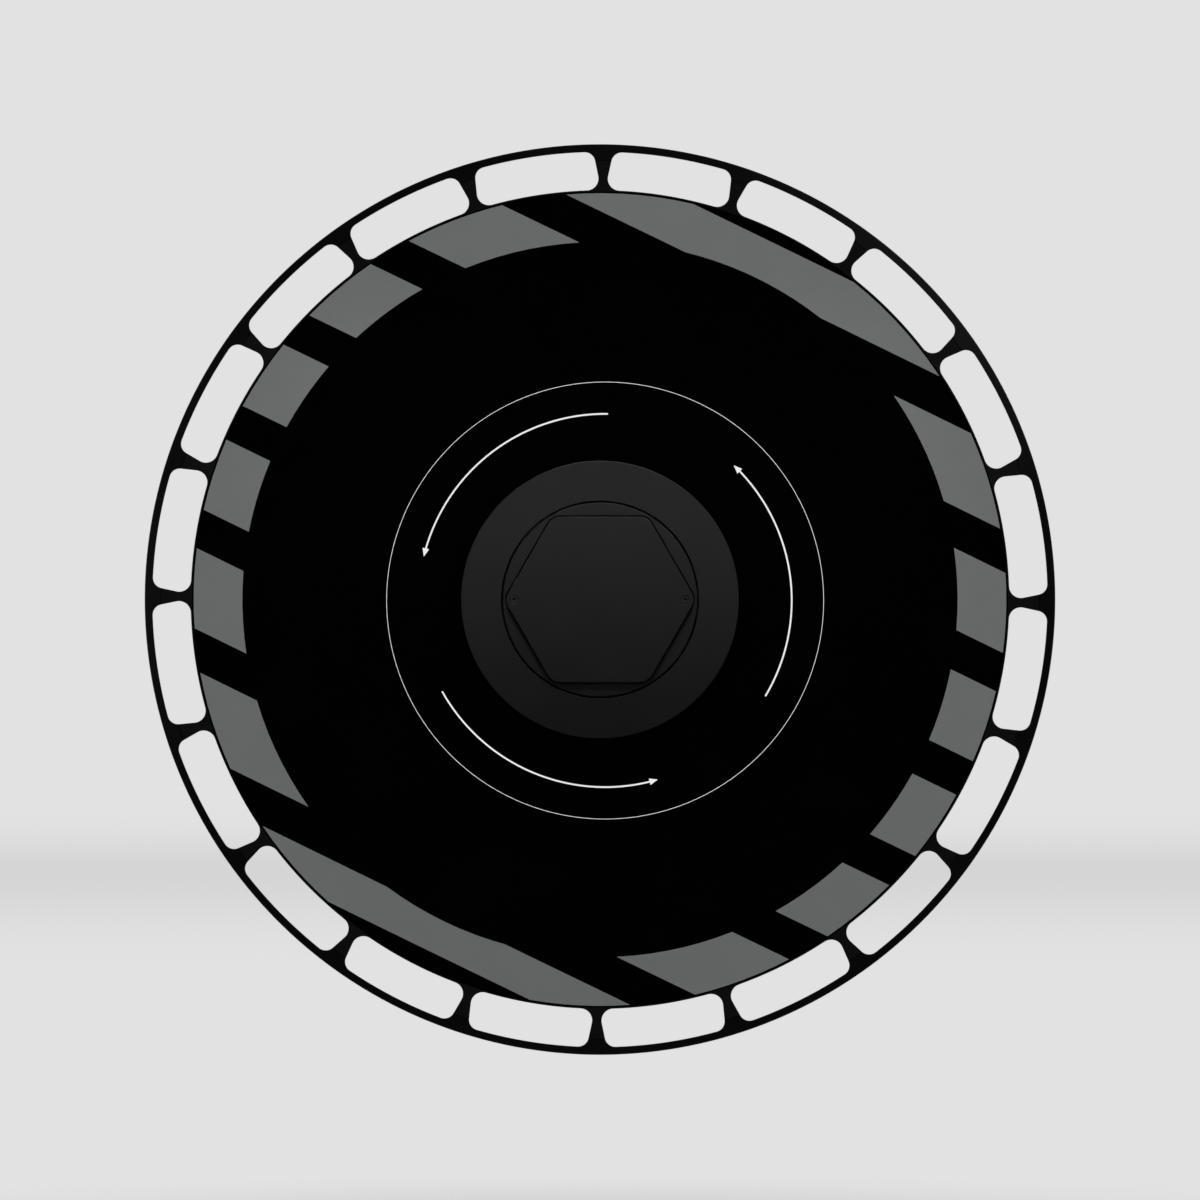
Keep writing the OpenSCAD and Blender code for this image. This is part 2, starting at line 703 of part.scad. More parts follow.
// Screw that holds the lock disc on the drive shaft
module shaft_screw() {
    r = shaft_screw_d / 2;
    head_r = 1.8 * r;
    head_front = pocket_floor + r;
    tip = pocket_floor - shaft_screw_l;
    bevel = 0.5;
    color([0.5, 0.5, 0.51]) facing_forward() difference() {
        rotate_extrude() polygon([[0, tip], [r - bevel, tip], [r, tip + bevel], [r, pocket_floor],
            [head_r, pocket_floor], [head_r, head_front - 0.4 * r], [1.4 * r, head_front], [0, head_front]]);
        translate([0, 0, head_front - 0.6 * r]) cylinder(d = 1.5 * r, h = r, $fn = 6);
    }
}

// Drive shaft: flats at both ends drive it from the lock disc and turn the cam plate
module drive_shaft() {
    bevel = 0.5;
    dog_l = dog_depth - 2 * run_gap;
    color([0.5, 0.5, 0.51]) facing_forward() difference() {
        union() {
            rotate_extrude() polygon([[0, cam_front], [shaft_r - bevel, cam_front],
                [shaft_r, cam_front + bevel], [shaft_r, lock_back - bevel], [shaft_r - bevel, lock_back],
                [0, lock_back]]);
            translate([0, 0, shaft_end]) linear_extrude(cam_front - shaft_end) double_flat(dog_r, dog_flat);
            translate([0, 0, lock_back]) linear_extrude(dog_l) double_flat(dog_r, dog_flat);
        }
        ring(dog_r - clip_groove, shaft_r, shaft_clip_back - fit_gap, cam_back);
        bar(shaft_screw_d / 2 + fit_gap, pocket_floor - shaft_screw_l - shaft_drill_end, lock_front);
    }
}

// Cam plate turned by the shaft's flats. Its three spiral slots carry the pins outwards by bolt_travel.
module cam_plate() {
    color([0.42, 0.42, 0.43]) facing_forward() translate([0, 0, cam_back]) linear_extrude(cam_t)
        difference() {
            circle(cam_r);
            double_flat(dog_r + slide_gap, dog_flat + slide_gap);
            around(3, 90) curved_slot(pin_rest_r, pin_rest_r + bolt_travel, scroll_half_w);
        }
}

module shaft_circlip() {
    color([0.5, 0.5, 0.5]) facing_forward() translate([0, 0, shaft_clip_back]) rotate(-90)
        linear_extrude(clip_t - fit_gap) circlip_outline(dog_r - clip_groove + clip_play, clip_w, -1);
}

// One radial bolt, bevelled towards the wheel so that it draws the cover in
module lock_bolt(number) {
    nose = 2.2;
    nose_h = 1.3;
    front = bolt_front - slide_gap;
    back = bolt_back + slide_gap;
    color([0.55, 0.55, 0.56]) facing_forward() rotate(90 + 120 * (number - 1)) difference() {
        translate([0, 0, back]) linear_extrude(front - back) intersection() {
            translate([bolt_in_r, -bolt_w / 2 + slide_gap]) square([spigot_r, bolt_w - 2 * slide_gap]);
            circle(bolt_out_r);
        }
        rotate_extrude() polygon([[bolt_out_r - nose, front + 1], [bolt_out_r - nose, front],
            [bolt_out_r + 1, front - nose_h * (nose + 1) / nose], [bolt_out_r + 1, front + 1]]);
        translate([pin_rest_r, 0, 0]) bar(pin_r + fit_gap, back - 1, front + 1);
    }
}

// Pin pressed into a bolt, whose tail runs in the cam plate's spiral slot
module follower_pin(number) {
    bevel = 0.4;
    from = cam_back + 0.3;
    to = bolt_front - 0.6;
    color([0.65, 0.65, 0.66]) facing_forward() rotate(90 + 120 * (number - 1))
        translate([pin_rest_r, 0, 0]) rotate_extrude() polygon([[0, from], [pin_r - bevel, from],
            [pin_r, from + bevel], [pin_r, to - bevel], [pin_r - bevel, to], [0, to]]);
}

aero_disc();
stripe_film();
circle_film();
arrow_film(1);  // arrow_film_1
arrow_film(2);  // arrow_film_2
arrow_film(3);  // arrow_film_3
edge_seal();
hub_plate();
hub_body();
hub_screws();
seat_pad();
front_bush();
rear_bush();
thrust_washer();
stop_pin();
rear_cover();
cover_circlip();
lock_disc();
hex_cap();
cap_screws();
shaft_screw();
drive_shaft();
cam_plate();
shaft_circlip();
dust_ring();
lock_bolt(1);  // lock_bolt_1
lock_bolt(2);  // lock_bolt_2
lock_bolt(3);  // lock_bolt_3
follower_pin(1);  // follower_pin_1
follower_pin(2);  // follower_pin_2
follower_pin(3);  // follower_pin_3
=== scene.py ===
"""Looks of a slotted aero wheel cover with a turning hub lock.

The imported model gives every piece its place. The wheel's axis runs along Y, the front faces -Y, +Z is up
and lengths are metres, or millimetres in a class that says so. "Out" is the distance in front of the hub's
seat plane, along -Y. This script makes the studio, the finishes and the pieces that are finer than the
packed ones.
"""

import json
import logging
import math
from abc import ABC, abstractmethod
from collections.abc import Iterator, Sequence
from dataclasses import dataclass, replace
from enum import Enum
from typing import Any

import bmesh
import bpy
from mathutils import Matrix, Vector

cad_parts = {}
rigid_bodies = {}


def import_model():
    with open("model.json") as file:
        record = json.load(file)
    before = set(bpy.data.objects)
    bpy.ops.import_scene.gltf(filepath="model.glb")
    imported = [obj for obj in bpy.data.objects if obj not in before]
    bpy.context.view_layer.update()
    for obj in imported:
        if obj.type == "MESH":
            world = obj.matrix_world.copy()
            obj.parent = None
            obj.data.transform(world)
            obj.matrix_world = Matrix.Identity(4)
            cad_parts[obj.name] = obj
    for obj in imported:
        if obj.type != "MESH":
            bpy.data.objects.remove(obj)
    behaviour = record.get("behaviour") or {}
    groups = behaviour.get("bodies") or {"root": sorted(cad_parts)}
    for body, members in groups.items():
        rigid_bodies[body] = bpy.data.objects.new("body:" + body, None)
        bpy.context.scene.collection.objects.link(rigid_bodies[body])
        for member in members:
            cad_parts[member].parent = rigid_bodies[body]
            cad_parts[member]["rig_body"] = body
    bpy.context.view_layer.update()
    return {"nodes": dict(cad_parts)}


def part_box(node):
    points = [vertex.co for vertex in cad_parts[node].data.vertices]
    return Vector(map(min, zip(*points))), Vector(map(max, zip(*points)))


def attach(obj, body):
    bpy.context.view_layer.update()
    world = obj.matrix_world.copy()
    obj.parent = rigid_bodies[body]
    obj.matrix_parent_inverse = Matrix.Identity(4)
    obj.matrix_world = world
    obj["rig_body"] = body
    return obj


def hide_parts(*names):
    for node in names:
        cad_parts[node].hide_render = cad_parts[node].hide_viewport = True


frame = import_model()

LOG = logging.getLogger("wheel_cover")
MM = 0.001
# Points closer than this are one point.
WELD = 2e-6
# Edges shorter than this are closed up.
SLIVER = 1e-6
# Faces that meet at less than this are one face.
LEVEL = math.radians(0.5)
# Edges over this angle are rounded.
BENT = math.radians(28)
# Edges over this angle stay sharp in the shading.
SHARP = math.radians(38)
# Flats across a rounding.
ROUND_FLATS = 2
WHITE = (1.0, 1.0, 1.0)

Triple = tuple[float, float, float]
Line = Sequence[tuple[float, float]]


class Signal:
    """A number in a node tree. Python's operators on it add Math nodes."""

    def __init__(self, graph: "Graph", socket: bpy.types.NodeSocket) -> None:
        """Keep the socket and the graph that it belongs to."""
        self.graph = graph
        self.socket = socket

    def math(self, operation: str, *values: "Signal | float") -> "Signal":
        """Add one Math node.

        Args:
            operation: The node's operation.
            values: What its sockets take, in order.

        Returns:
            The node's result.
        """
        made = self.graph.node("ShaderNodeMath", {"operation": operation}, dict(enumerate(values)))
        return Signal(self.graph, made.outputs[0])

    def __add__(self, other: "Signal | float") -> "Signal":
        """Return self + other."""
        return self.math("ADD", self, other)

    def __radd__(self, other: float) -> "Signal":
        """Return other + self."""
        return self.math("ADD", other, self)

    def __sub__(self, other: "Signal | float") -> "Signal":
        """Return self - other."""
        return self.math("SUBTRACT", self, other)

    def __rsub__(self, other: float) -> "Signal":
        """Return other - self."""
        return self.math("SUBTRACT", other, self)

    def __mul__(self, other: "Signal | float") -> "Signal":
        """Return self * other."""
        return self.math("MULTIPLY", self, other)

    def __rmul__(self, other: float) -> "Signal":
        """Return other * self."""
        return self.math("MULTIPLY", other, self)

    def __truediv__(self, other: "Signal | float") -> "Signal":
        """Return self / other."""
        return self.math("DIVIDE", self, other)

    def __rtruediv__(self, other: float) -> "Signal":
        """Return other / self."""
        return self.math("DIVIDE", other, self)

    def __neg__(self) -> "Signal":
        """Return -self."""
        return self.math("MULTIPLY", self, -1.0)

    def root(self) -> "Signal":
        """Return the square root."""
        return self.math("SQRT", self)

    def exp(self) -> "Signal":
        """Return e to the power of the value."""
        return self.math("EXPONENT", self)

    def over(self, limit: float) -> "Signal":
        """Return 1 where the value is above limit, and 0 elsewhere."""
        return self.math("GREATER_THAN", self, limit)

    def capped(self, limit: float) -> "Signal":
        """Return the smaller of the value and limit."""
        return self.math("MINIMUM", self, limit)

    def swing(self, width: float) -> "Signal":
        """Return a noise from 0 to 1 as a swing about 0, as wide as width."""
        return (self - 0.5) * width

    def eased(self, low: float, high: float) -> "Signal":
        """Return a smooth step.

        Args:
            low: The value at which the step is 0.
            high: The value at which the step is 1.

        Returns:
            The step, flat outside both values.
        """
        made = self.graph.node("ShaderNodeMapRange", {"interpolation_type": "SMOOTHSTEP"},
                               {0: self, 1: low, 2: high, 3: 0.0, 4: 1.0})
        return Signal(self.graph, made.outputs[0])


class VectorSignal:
    """A vector or colour in a node tree."""

    def __init__(self, graph: "Graph", socket: bpy.types.NodeSocket) -> None:
        """Keep the socket and the graph that it belongs to."""
        self.graph = graph
        self.socket = socket

    def parts(self) -> tuple[Signal, Signal, Signal]:
        """Return the three numbers of the vector."""
        made = self.graph.node("ShaderNodeSeparateXYZ", {}, {0: self})
        return tuple(Signal(self.graph, socket) for socket in made.outputs)


class Graph:
    """Builds the nodes of one material or world."""

    def __init__(self, tree: bpy.types.NodeTree) -> None:
        """Start from an empty tree."""
        tree.nodes.clear()
        self.tree = tree

    def node(self, kind: str, settings: dict[str, Any], inputs: dict[int | str, Any]) -> bpy.types.Node:
        """Add a node.

        Args:
            kind: The node's type.
            settings: Its properties, which are set first.
            inputs: The value or link of each socket, by the socket's name or number.

        Returns:
            The node.
        """
        made = self.tree.nodes.new(kind)
        for name, value in settings.items():
            setattr(made, name, value)
        for key, value in inputs.items():
            socket = made.inputs[key]
            if isinstance(value, (Signal, VectorSignal)):
                self.tree.links.new(value.socket, socket)
            elif isinstance(value, bpy.types.NodeSocket):
                self.tree.links.new(value, socket)
            elif socket.type == "RGBA":
                socket.default_value = (*value, 1.0)
            else:
                socket.default_value = value
        return made

    def place(self) -> VectorSignal:
        """Return the point on the piece, in the wheel cover's own metres."""
        return VectorSignal(self, self.node("ShaderNodeTexCoord", {}, {}).outputs["Object"])

    def facing(self) -> VectorSignal:
        """Return the direction that the surface faces, in the piece's own frame."""
        return VectorSignal(self, self.node("ShaderNodeTexCoord", {}, {}).outputs["Normal"])

    def vector(self, x: Signal, y: Signal, z: Signal) -> VectorSignal:
        """Return the vector of three numbers."""
        return VectorSignal(self, self.node("ShaderNodeCombineXYZ", {}, {0: x, 1: y, 2: z}).outputs[0])

    def noise(self, at: VectorSignal, scale: float, detail: float) -> Signal:
        """Return a noise from 0 to 1.

        Args:
            at: Where the noise is read.
            scale: Its features for each unit of length.
            detail: How many finer layers it has.

        Returns:
            The noise, about 0.5 on average.
        """
        made = self.node("ShaderNodeTexNoise", {"noise_dimensions": "3D"},
                         {"Vector": at, "Scale": scale, "Detail": detail})
        return Signal(self, made.outputs[0])

    def lines(self, along: Signal, scale: float) -> Signal:
        """Return a noise from 0 to 1 that changes only with one number, as the lines of a tool do.

        Args:
            along: The number.
            scale: Lines for each unit of it.

        Returns:
            The noise.
        """
        made = self.node("ShaderNodeTexNoise", {"noise_dimensions": "1D"},
                         {"W": along, "Scale": scale, "Detail": 3.0})
        return Signal(self, made.outputs[0])

    def cells(self, at: VectorSignal, scale: float) -> Signal:
        """Return the distance to the middle of the nearest of many random cells."""
        made = self.node("ShaderNodeTexVoronoi", {"feature": "F1"}, {"Vector": at, "Scale": scale})
        return Signal(self, made.outputs["Distance"])

    def blend(self, share: Signal, first: VectorSignal | Triple, second: VectorSignal | Triple
              ) -> VectorSignal:
        """Return the colour between two colours: the first at share 0 and the second at share 1."""
        made = self.node("ShaderNodeMix", {"data_type": "RGBA"}, {0: share, 6: first, 7: second})
        return VectorSignal(self, made.outputs[2])

    def relief(self, height: Signal, depth: float) -> VectorSignal:
        """Return the normal of a surface with fine relief.

        Args:
            height: The relief from 0 to 1.
            depth: Its real height in metres.

        Returns:
            The bent normal.
        """
        made = self.node("ShaderNodeBump", {}, {"Height": height, "Distance": depth, "Strength": 1.0})
        return VectorSignal(self, made.outputs[0])

    def principled(self, inputs: dict[int | str, Any]) -> bpy.types.NodeSocket:
        """Return the shader of a Principled node with those inputs."""
        return self.node("ShaderNodeBsdfPrincipled", {}, inputs).outputs[0]

    def mix(self, share: Signal | bpy.types.NodeSocket, first: bpy.types.NodeSocket,
            second: bpy.types.NodeSocket) -> bpy.types.NodeSocket:
        """Return the shader between two shaders: the first at share 0 and the second at share 1."""
        return self.node("ShaderNodeMixShader", {}, {0: share, 1: first, 2: second}).outputs[0]

    def surface(self, shader: bpy.types.NodeSocket, output: str = "ShaderNodeOutputMaterial") -> None:
        """Make shader the surface of the material, or of the world with a world's output."""
        self.node(output, {}, {"Surface": shader})


def shaded(colour: Triple, factor: float) -> Triple:
    """Return a darker or lighter copy of a colour."""
    return tuple(part * factor for part in colour)


@dataclass(frozen=True)
class Finish(ABC):
    """What a surface looks like. Pieces with the same finish share its material.

    Attributes:
        name: The material's name.
        slot: The record's material slot. Not used.
    """

    name: str
    slot: str

    def material(self) -> bpy.types.Material:
        """Make the finish's material when it is first asked for.

        Returns:
            The one material of the finish.
        """
        label = f"finish_{self.name}"
        known = bpy.data.materials.get(label)
        if known:
            return known
        made = bpy.data.materials.new(label)
        made.use_nodes = True
        graph = Graph(made.node_tree)
        graph.surface(self.shader(graph))
        return made

    @abstractmethod
    def shader(self, graph: Graph) -> bpy.types.NodeSocket:
        """Build the finish's nodes.

        Args:
            graph: The material's graph.

        Returns:
            The shader.
        """


@dataclass(frozen=True)
class MouldedPlastic(Finish):
    """Black moulded plastic, polished on the centre of its front and spark-grained elsewhere.

    Attributes:
        grained: Colour of the grained surface.
        polished: Colour of the polished surface.
        polished_to: Radius at which the polished face ends.
        lip_from: Radius at which the sloping lip begins.
        lip_polish: How far the lip is polished, from 0 to 1.
        fade: Width over which the polish ends.
        dull: Roughness of the grained surface.
        polish_gain: How much less rough the polished face is.
        gloss: Specular level of the plastic.
        worn: How much lighter worn places are.
        wear_share: How strong the wear is.
        wear_kept: Share of the wear that the polished face keeps.
        grain_kept: Share of the grain's relief that the polished face keeps.
        grain_size: Width of one pit of the grain.
        grain_depth: Depth of the grain.
    """

    grained: Triple
    polished: Triple
    polished_to: float
    lip_from: float
    lip_polish: float
    fade: float = 0.2 * MM
    dull: float = 0.50
    polish_gain: float = 0.34
    gloss: float = 0.17
    worn: float = 1.5
    wear_share: float = 0.35
    wear_kept: float = 0.1
    grain_kept: float = 0.04
    grain_size: float = 0.45 * MM
    grain_depth: float = 0.012 * MM

    def polish(self, graph: Graph, radius: Signal) -> Signal:
        """Tell where the surface is polished.

        Args:
            graph: The material's graph.
            radius: Distance from the wheel's axis.

        Returns:
            How far it is polished, from 0 to 1.
        """
        centre = 1 - radius.eased(self.polished_to - self.fade, self.polished_to)
        lip = radius.eased(self.lip_from - self.fade, self.lip_from) * self.lip_polish
        towards_front = -graph.facing().parts()[1]
        return towards_front.over(0.5) * (centre + lip)

    def shader(self, graph: Graph) -> bpy.types.NodeSocket:
        """Build grain, flow marks from the centre gate, wear and the polished face.

        Args:
            graph: The material's graph.

        Returns:
            The shader.
        """
        at = graph.place()
        x, _, z = at.parts()
        radius = (x * x + z * z).root()
        polish = self.polish(graph, radius)
        grain = graph.noise(at, scale=1 / self.grain_size, detail=3.0)
        flow = graph.noise(graph.vector(x / radius, z / radius, radius * 9.0), scale=14.0, detail=2.0)
        wear = graph.noise(at, scale=22.0, detail=4.0).eased(0.45, 0.75) * self.wear_share
        colour = graph.blend(polish, self.grained, self.polished)
        worn = shaded(self.grained, self.worn)
        colour = graph.blend(wear * (1 - polish * (1 - self.wear_kept)), colour, worn)
        smoother = polish * (self.polish_gain - flow.swing(0.04))
        roughness = self.dull + grain.swing(0.16) + flow.swing(0.08) - smoother
        return graph.principled({
            "Base Color": colour,
            "Roughness": roughness,
            "Normal": graph.relief(grain * (1 - polish * (1 - self.grain_kept)), self.grain_depth),
            "Specular IOR Level": self.gloss,
        })


@dataclass(frozen=True)
class PrintedFilm(Finish):
    """Satin printed film on the disc.

    Attributes:
        ink: Colour of the print.
        mottle: How much the ink's density varies.
        roughness: How dull the film is.
        peel_depth: Depth of the film's slight orange peel.
    """

    ink: Triple
    mottle: float
    roughness: float
    peel_depth: float = 0.004 * MM

    def shader(self, graph: Graph) -> bpy.types.NodeSocket:
        """Build the ink's mottle and the film's slight orange peel.

        Args:
            graph: The material's graph.

        Returns:
            The shader.
        """
        at = graph.place()
        fine = graph.noise(at, scale=900.0, detail=3.0)
        broad = graph.noise(at, scale=60.0, detail=2.0)
        peel = graph.noise(at, scale=420.0, detail=1.0)
        density = (fine * 0.6 + broad * 0.4).eased(0.3, 0.7)
        thin, full = shaded(self.ink, 1 - self.mottle), shaded(self.ink, 1 + self.mottle)
        return graph.principled({
            "Base Color": graph.blend(density, thin, full),
            "Roughness": self.roughness + peel.swing(0.08),
            "Normal": graph.relief(peel, self.peel_depth),
            "IOR": 1.46,
        })


class Lay(Enum):
    """Which way the fine lines of a tool run on a metal surface."""

    TURNED = "round the axis"
    GROUND = "along the piece"
    BLASTED = "no direction"


@dataclass(frozen=True)
class Metal(Finish):
    """Metal with the marks of how it was made.

    Attributes:
        colour: Colour of the metal or its coating.
        metallic: 1 for bare metal, 0 for a coated one.
        roughness: How dull it is.
        lay: Which way its fine lines run.
        pitch: Distance from one line to the next.
        depth: Depth of the lines.
        stain: Colour of slight stains or oil, mixed in where they gather.
        stain_share: How strong the stains are.
        gloss: The coating's specular level.
        tint: How much the lines change the colour.
    """

    colour: Triple
    metallic: float
    roughness: float
    lay: Lay
    pitch: float = 0.25 * MM
    depth: float = 0.002 * MM
    stain: Triple = (0.02, 0.02, 0.02)
    stain_share: float = 0.15
    gloss: float = 0.5
    tint: float = 0.14

    def marks(self, graph: Graph, at: VectorSignal) -> Signal:
        """Return the tool's lines from 0 to 1.

        Args:
            graph: The material's graph.
            at: The point on the piece.

        Returns:
            The lines, which follow the finish's lay.
        """
        x, y, z = at.parts()
        if self.lay is Lay.TURNED:
            return graph.lines((x * x + z * z).root() + y * 1.3, scale=1 / self.pitch)
        if self.lay is Lay.GROUND:
            return graph.noise(graph.vector(x, y * 12.0, z), scale=0.5 / self.pitch, detail=2.0)
        return graph.noise(at, scale=1 / self.pitch, detail=3.0)

    def shader(self, graph: Graph) -> bpy.types.NodeSocket:
        """Build the lines, the slight stains and the coat's uneven sheen.

        Args:
            graph: The material's graph.

        Returns:
            The shader.
        """
        at = graph.place()
        lines = self.marks(graph, at)
        cloud = graph.noise(at, scale=45.0, detail=4.0)
        speck = graph.noise(at, scale=1800.0, detail=2.0)
        stained = cloud.eased(0.42, 0.8) * self.stain_share
        dark, pale = shaded(self.colour, 1 - self.tint), shaded(self.colour, 1 + self.tint)
        colour = graph.blend(lines.swing(0.5) + 0.5, dark, pale)
        return graph.principled({
            "Base Color": graph.blend(stained, colour, self.stain),
            "Metallic": self.metallic,
            "Roughness": self.roughness + lines.swing(0.14) + cloud.swing(0.10) + speck.swing(0.05),
            "Normal": graph.relief(lines * 0.8 + speck * 0.2, self.depth),
            "Specular IOR Level": self.gloss,
        })


@dataclass(frozen=True)
class Rubber(Finish):
    """Moulded black rubber with a dull bloom.

    Attributes:
        colour: Colour of the rubber.
        bloom: Colour of the pale bloom on it.
        bloom_share: How strong the bloom is.
        roughness: How dull it is.
        grain_depth: Depth of its grain.
    """

    colour: Triple
    bloom: Triple
    bloom_share: float = 0.5
    roughness: float = 0.66
    grain_depth: float = 0.01 * MM

    def shader(self, graph: Graph) -> bpy.types.NodeSocket:
        """Build the fine grain and the bloom.

        Args:
            graph: The material's graph.

        Returns:
            The shader.
        """
        at = graph.place()
        grain = graph.noise(at, scale=1600.0, detail=3.0)
        cloud = graph.noise(at, scale=70.0, detail=3.0)
        return graph.principled({
            "Base Color": graph.blend(cloud.eased(0.35, 0.8) * self.bloom_share, self.colour, self.bloom),
            "Roughness": self.roughness + grain.swing(0.2),
            "Normal": graph.relief(grain, self.grain_depth),
            "IOR": 1.5,
        })


@dataclass(frozen=True)
class SinteredBronze(Finish):
    """Oil-soaked sintered bronze, with open pores.

    Attributes:
        colour: Colour of the bronze.
        oil: Colour where oil has soaked out.
        oil_share: How strong the oil is.
        roughness: How dull it is.
        pore_shade: How dark the pores are beside the oil.
        pore_depth: Depth of the pores.
    """

    colour: Triple
    oil: Triple
    oil_share: float = 0.6
    roughness: float = 0.38
    pore_shade: float = 0.4
    pore_depth: float = 0.01 * MM

    def shader(self, graph: Graph) -> bpy.types.NodeSocket:
        """Build pores and oil clouds.

        Args:
            graph: The material's graph.

        Returns:
            The shader.
        """
        at = graph.place()
        pores = graph.cells(at, scale=2600.0)
        cloud = graph.noise(at, scale=150.0, detail=3.0)
        colour = graph.blend(cloud.eased(0.3, 0.8) * self.oil_share, self.colour, self.oil)
        pore = shaded(self.oil, self.pore_shade)
        return graph.principled({
            "Base Color": graph.blend(1 - pores.eased(0.05, 0.22), colour, pore),
            "Metallic": 1.0,
            "Roughness": self.roughness + cloud.swing(0.2),
            "Normal": graph.relief(pores.eased(0.0, 0.3), self.pore_depth),
        })


@dataclass(frozen=True)
class Nylon(Finish):
    """Cream cast nylon, faintly cloudy.

    Attributes:
        colour: Colour of the nylon.
        cloudy: How dark the clouds are beside it.
        roughness: How dull it is.
        saw_depth: Depth of the sawn face's lines.
    """

    colour: Triple
    cloudy: float = 0.9
    roughness: float = 0.5
    saw_depth: float = 0.005 * MM

    def shader(self, graph: Graph) -> bpy.types.NodeSocket:
        """Build the cloudiness and the sawn face's fine lines.

        Args:
            graph: The material's graph.

        Returns:
            The shader.
        """
        at = graph.place()
        cloud = graph.noise(at, scale=120.0, detail=3.0)
        fine = graph.noise(at, scale=1500.0, detail=2.0)
        cloudy = shaded(self.colour, self.cloudy)
        return graph.principled({
            "Base Color": graph.blend(cloud.eased(0.3, 0.7), self.colour, cloudy),
            "Roughness": self.roughness + fine.swing(0.1),
            "Normal": graph.relief(fine, self.saw_depth),
            "IOR": 1.53,
        })


class Finishes:
    """The finishes of the wheel cover."""

    disc = MouldedPlastic("black_plastic", "disc_plastic", grained=(0.0031, 0.0031, 0.0043),
                          polished=(0.0004, 0.0004, 0.0004), polished_to=0.2149, lip_from=0.2312,
                          lip_polish=0.45)
    grey_print = PrintedFilm("grey_print", "grey_film", ink=(0.1302, 0.1360, 0.1331), mottle=0.03,
                             roughness=0.55)
    white_print = PrintedFilm("white_print", "white_film", ink=(0.88, 0.88, 0.88), mottle=0.01,
                              roughness=0.5)
    rubber = Rubber("black_rubber", "seal_rubber", colour=(0.009, 0.009, 0.0095),
                    bloom=(0.018, 0.018, 0.017))
    hub_ring = Metal("anodised_ring", "hub_metal", colour=(0.0046, 0.0046, 0.0049), metallic=0.0,
                     roughness=0.62, gloss=0.25, lay=Lay.TURNED, pitch=0.22 * MM, depth=0.0006 * MM,
                     stain_share=0.05)
    hub_cap = replace(hub_ring, name="anodised_cap", lay=Lay.BLASTED, pitch=0.35 * MM, depth=0.0012 * MM)
    body = Metal("turned_aluminium", "body_metal", colour=(0.40, 0.40, 0.41), metallic=1.0,
                 roughness=0.36, lay=Lay.TURNED, pitch=0.3 * MM, stain=(0.16, 0.16, 0.16),
                 stain_share=0.3)
    bolt = Metal("ground_steel", "lock_steel", colour=(0.34, 0.34, 0.35), metallic=1.0, roughness=0.26,
                 lay=Lay.GROUND, pitch=0.2 * MM, depth=0.0015 * MM, stain=(0.12, 0.10, 0.07),
                 stain_share=0.3)
    shaft = replace(bolt, name="turned_steel", colour=(0.33, 0.33, 0.34), roughness=0.28, lay=Lay.TURNED,
                    stain_share=0.25)
    screw = Metal("plated_steel", "screw_steel", colour=(0.30, 0.30, 0.31), metallic=1.0, roughness=0.33,
                  lay=Lay.BLASTED, pitch=0.3 * MM, depth=0.0015 * MM, stain=(0.16, 0.13, 0.08),
                  stain_share=0.35)
    dark_screw = Metal("blackened_steel", "dark_steel", colour=(0.0048, 0.0048, 0.0052), metallic=0.0,
                       roughness=0.60, gloss=0.27, lay=Lay.BLASTED, pitch=0.3 * MM, depth=0.001 * MM,
                       stain_share=0.1)
    spring = Metal("spring_steel", "spring_steel", colour=(0.10, 0.10, 0.11), metallic=1.0,
                   roughness=0.34, lay=Lay.BLASTED, depth=0.001 * MM, stain=(0.05, 0.06, 0.10),
                   stain_share=0.4)
    bronze = SinteredBronze("sintered_bronze", "bush_bronze", colour=(0.45, 0.25, 0.09),
                            oil=(0.20, 0.11, 0.04))
    nylon = Nylon("cream_nylon", "washer_nylon", colour=(0.66, 0.64, 0.55))


@dataclass(frozen=True)
class Corner:
    """One corner of a turned section.

    Attributes:
        radius: Distance from the wheel's axis.
        out: Distance in front of the hub's seat plane.
        rounding: Radius of the corner's rounding.
    """

    radius: float
    out: float
    rounding: float = 0.0

    def spot(self) -> Vector:
        """Return the corner as a flat vector."""
        return Vector((self.radius, self.out))


@dataclass(frozen=True)
class Section:
    """A closed section of a turned piece.

    Attributes:
        corners: Its corners, in order round the section.
        steps: Flats in each rounded corner.
        most: Largest share of a side that one corner's rounding takes.
    """

    corners: tuple[Corner, ...]
    steps: int = 4
    most: float = 0.49

    def arc(self, here: Vector, before: Vector, after: Vector, rounding: float) -> list[Vector]:
        """Return the arc at one rounded corner.

        Args:
            here: The corner.
            before: The side that leads back from the corner.
            after: The side that leads on from it.
            rounding: The arc's radius, which a short side makes smaller.

        Returns:
            The arc's points.
        """
        half = before.angle(after) / 2
        reach = min(rounding / math.tan(half), self.most * before.length, self.most * after.length)
        radius = reach * math.tan(half)
        back, ahead = before.normalized(), after.normalized()
        centre = here + (back + ahead).normalized() * radius / math.sin(half)
        start = here + back * reach - centre
        end = here + ahead * reach - centre
        shares = [step / self.steps for step in range(self.steps + 1)]
        return [centre + (start * (1 - share) + end * share).normalized() * radius for share in shares]

    def points(self) -> list[Vector]:
        """Work out the section's points.

        Returns:
            The points, with arcs at the rounded corners.
        """
        found: list[Vector] = []
        for k, corner in enumerate(self.corners):
            here = corner.spot()
            before = self.corners[k - 1].spot() - here
            after = self.corners[(k + 1) % len(self.corners)].spot() - here
            found += self.arc(here, before, after, corner.rounding) if corner.rounding else [here]
        return found


def weld(shape: bmesh.types.BMesh) -> None:
    """Join points that lie together, and close up the slivers between them."""
    bmesh.ops.remove_doubles(shape, verts=shape.verts, dist=WELD)
    bmesh.ops.dissolve_degenerate(shape, dist=SLIVER, edges=shape.edges)


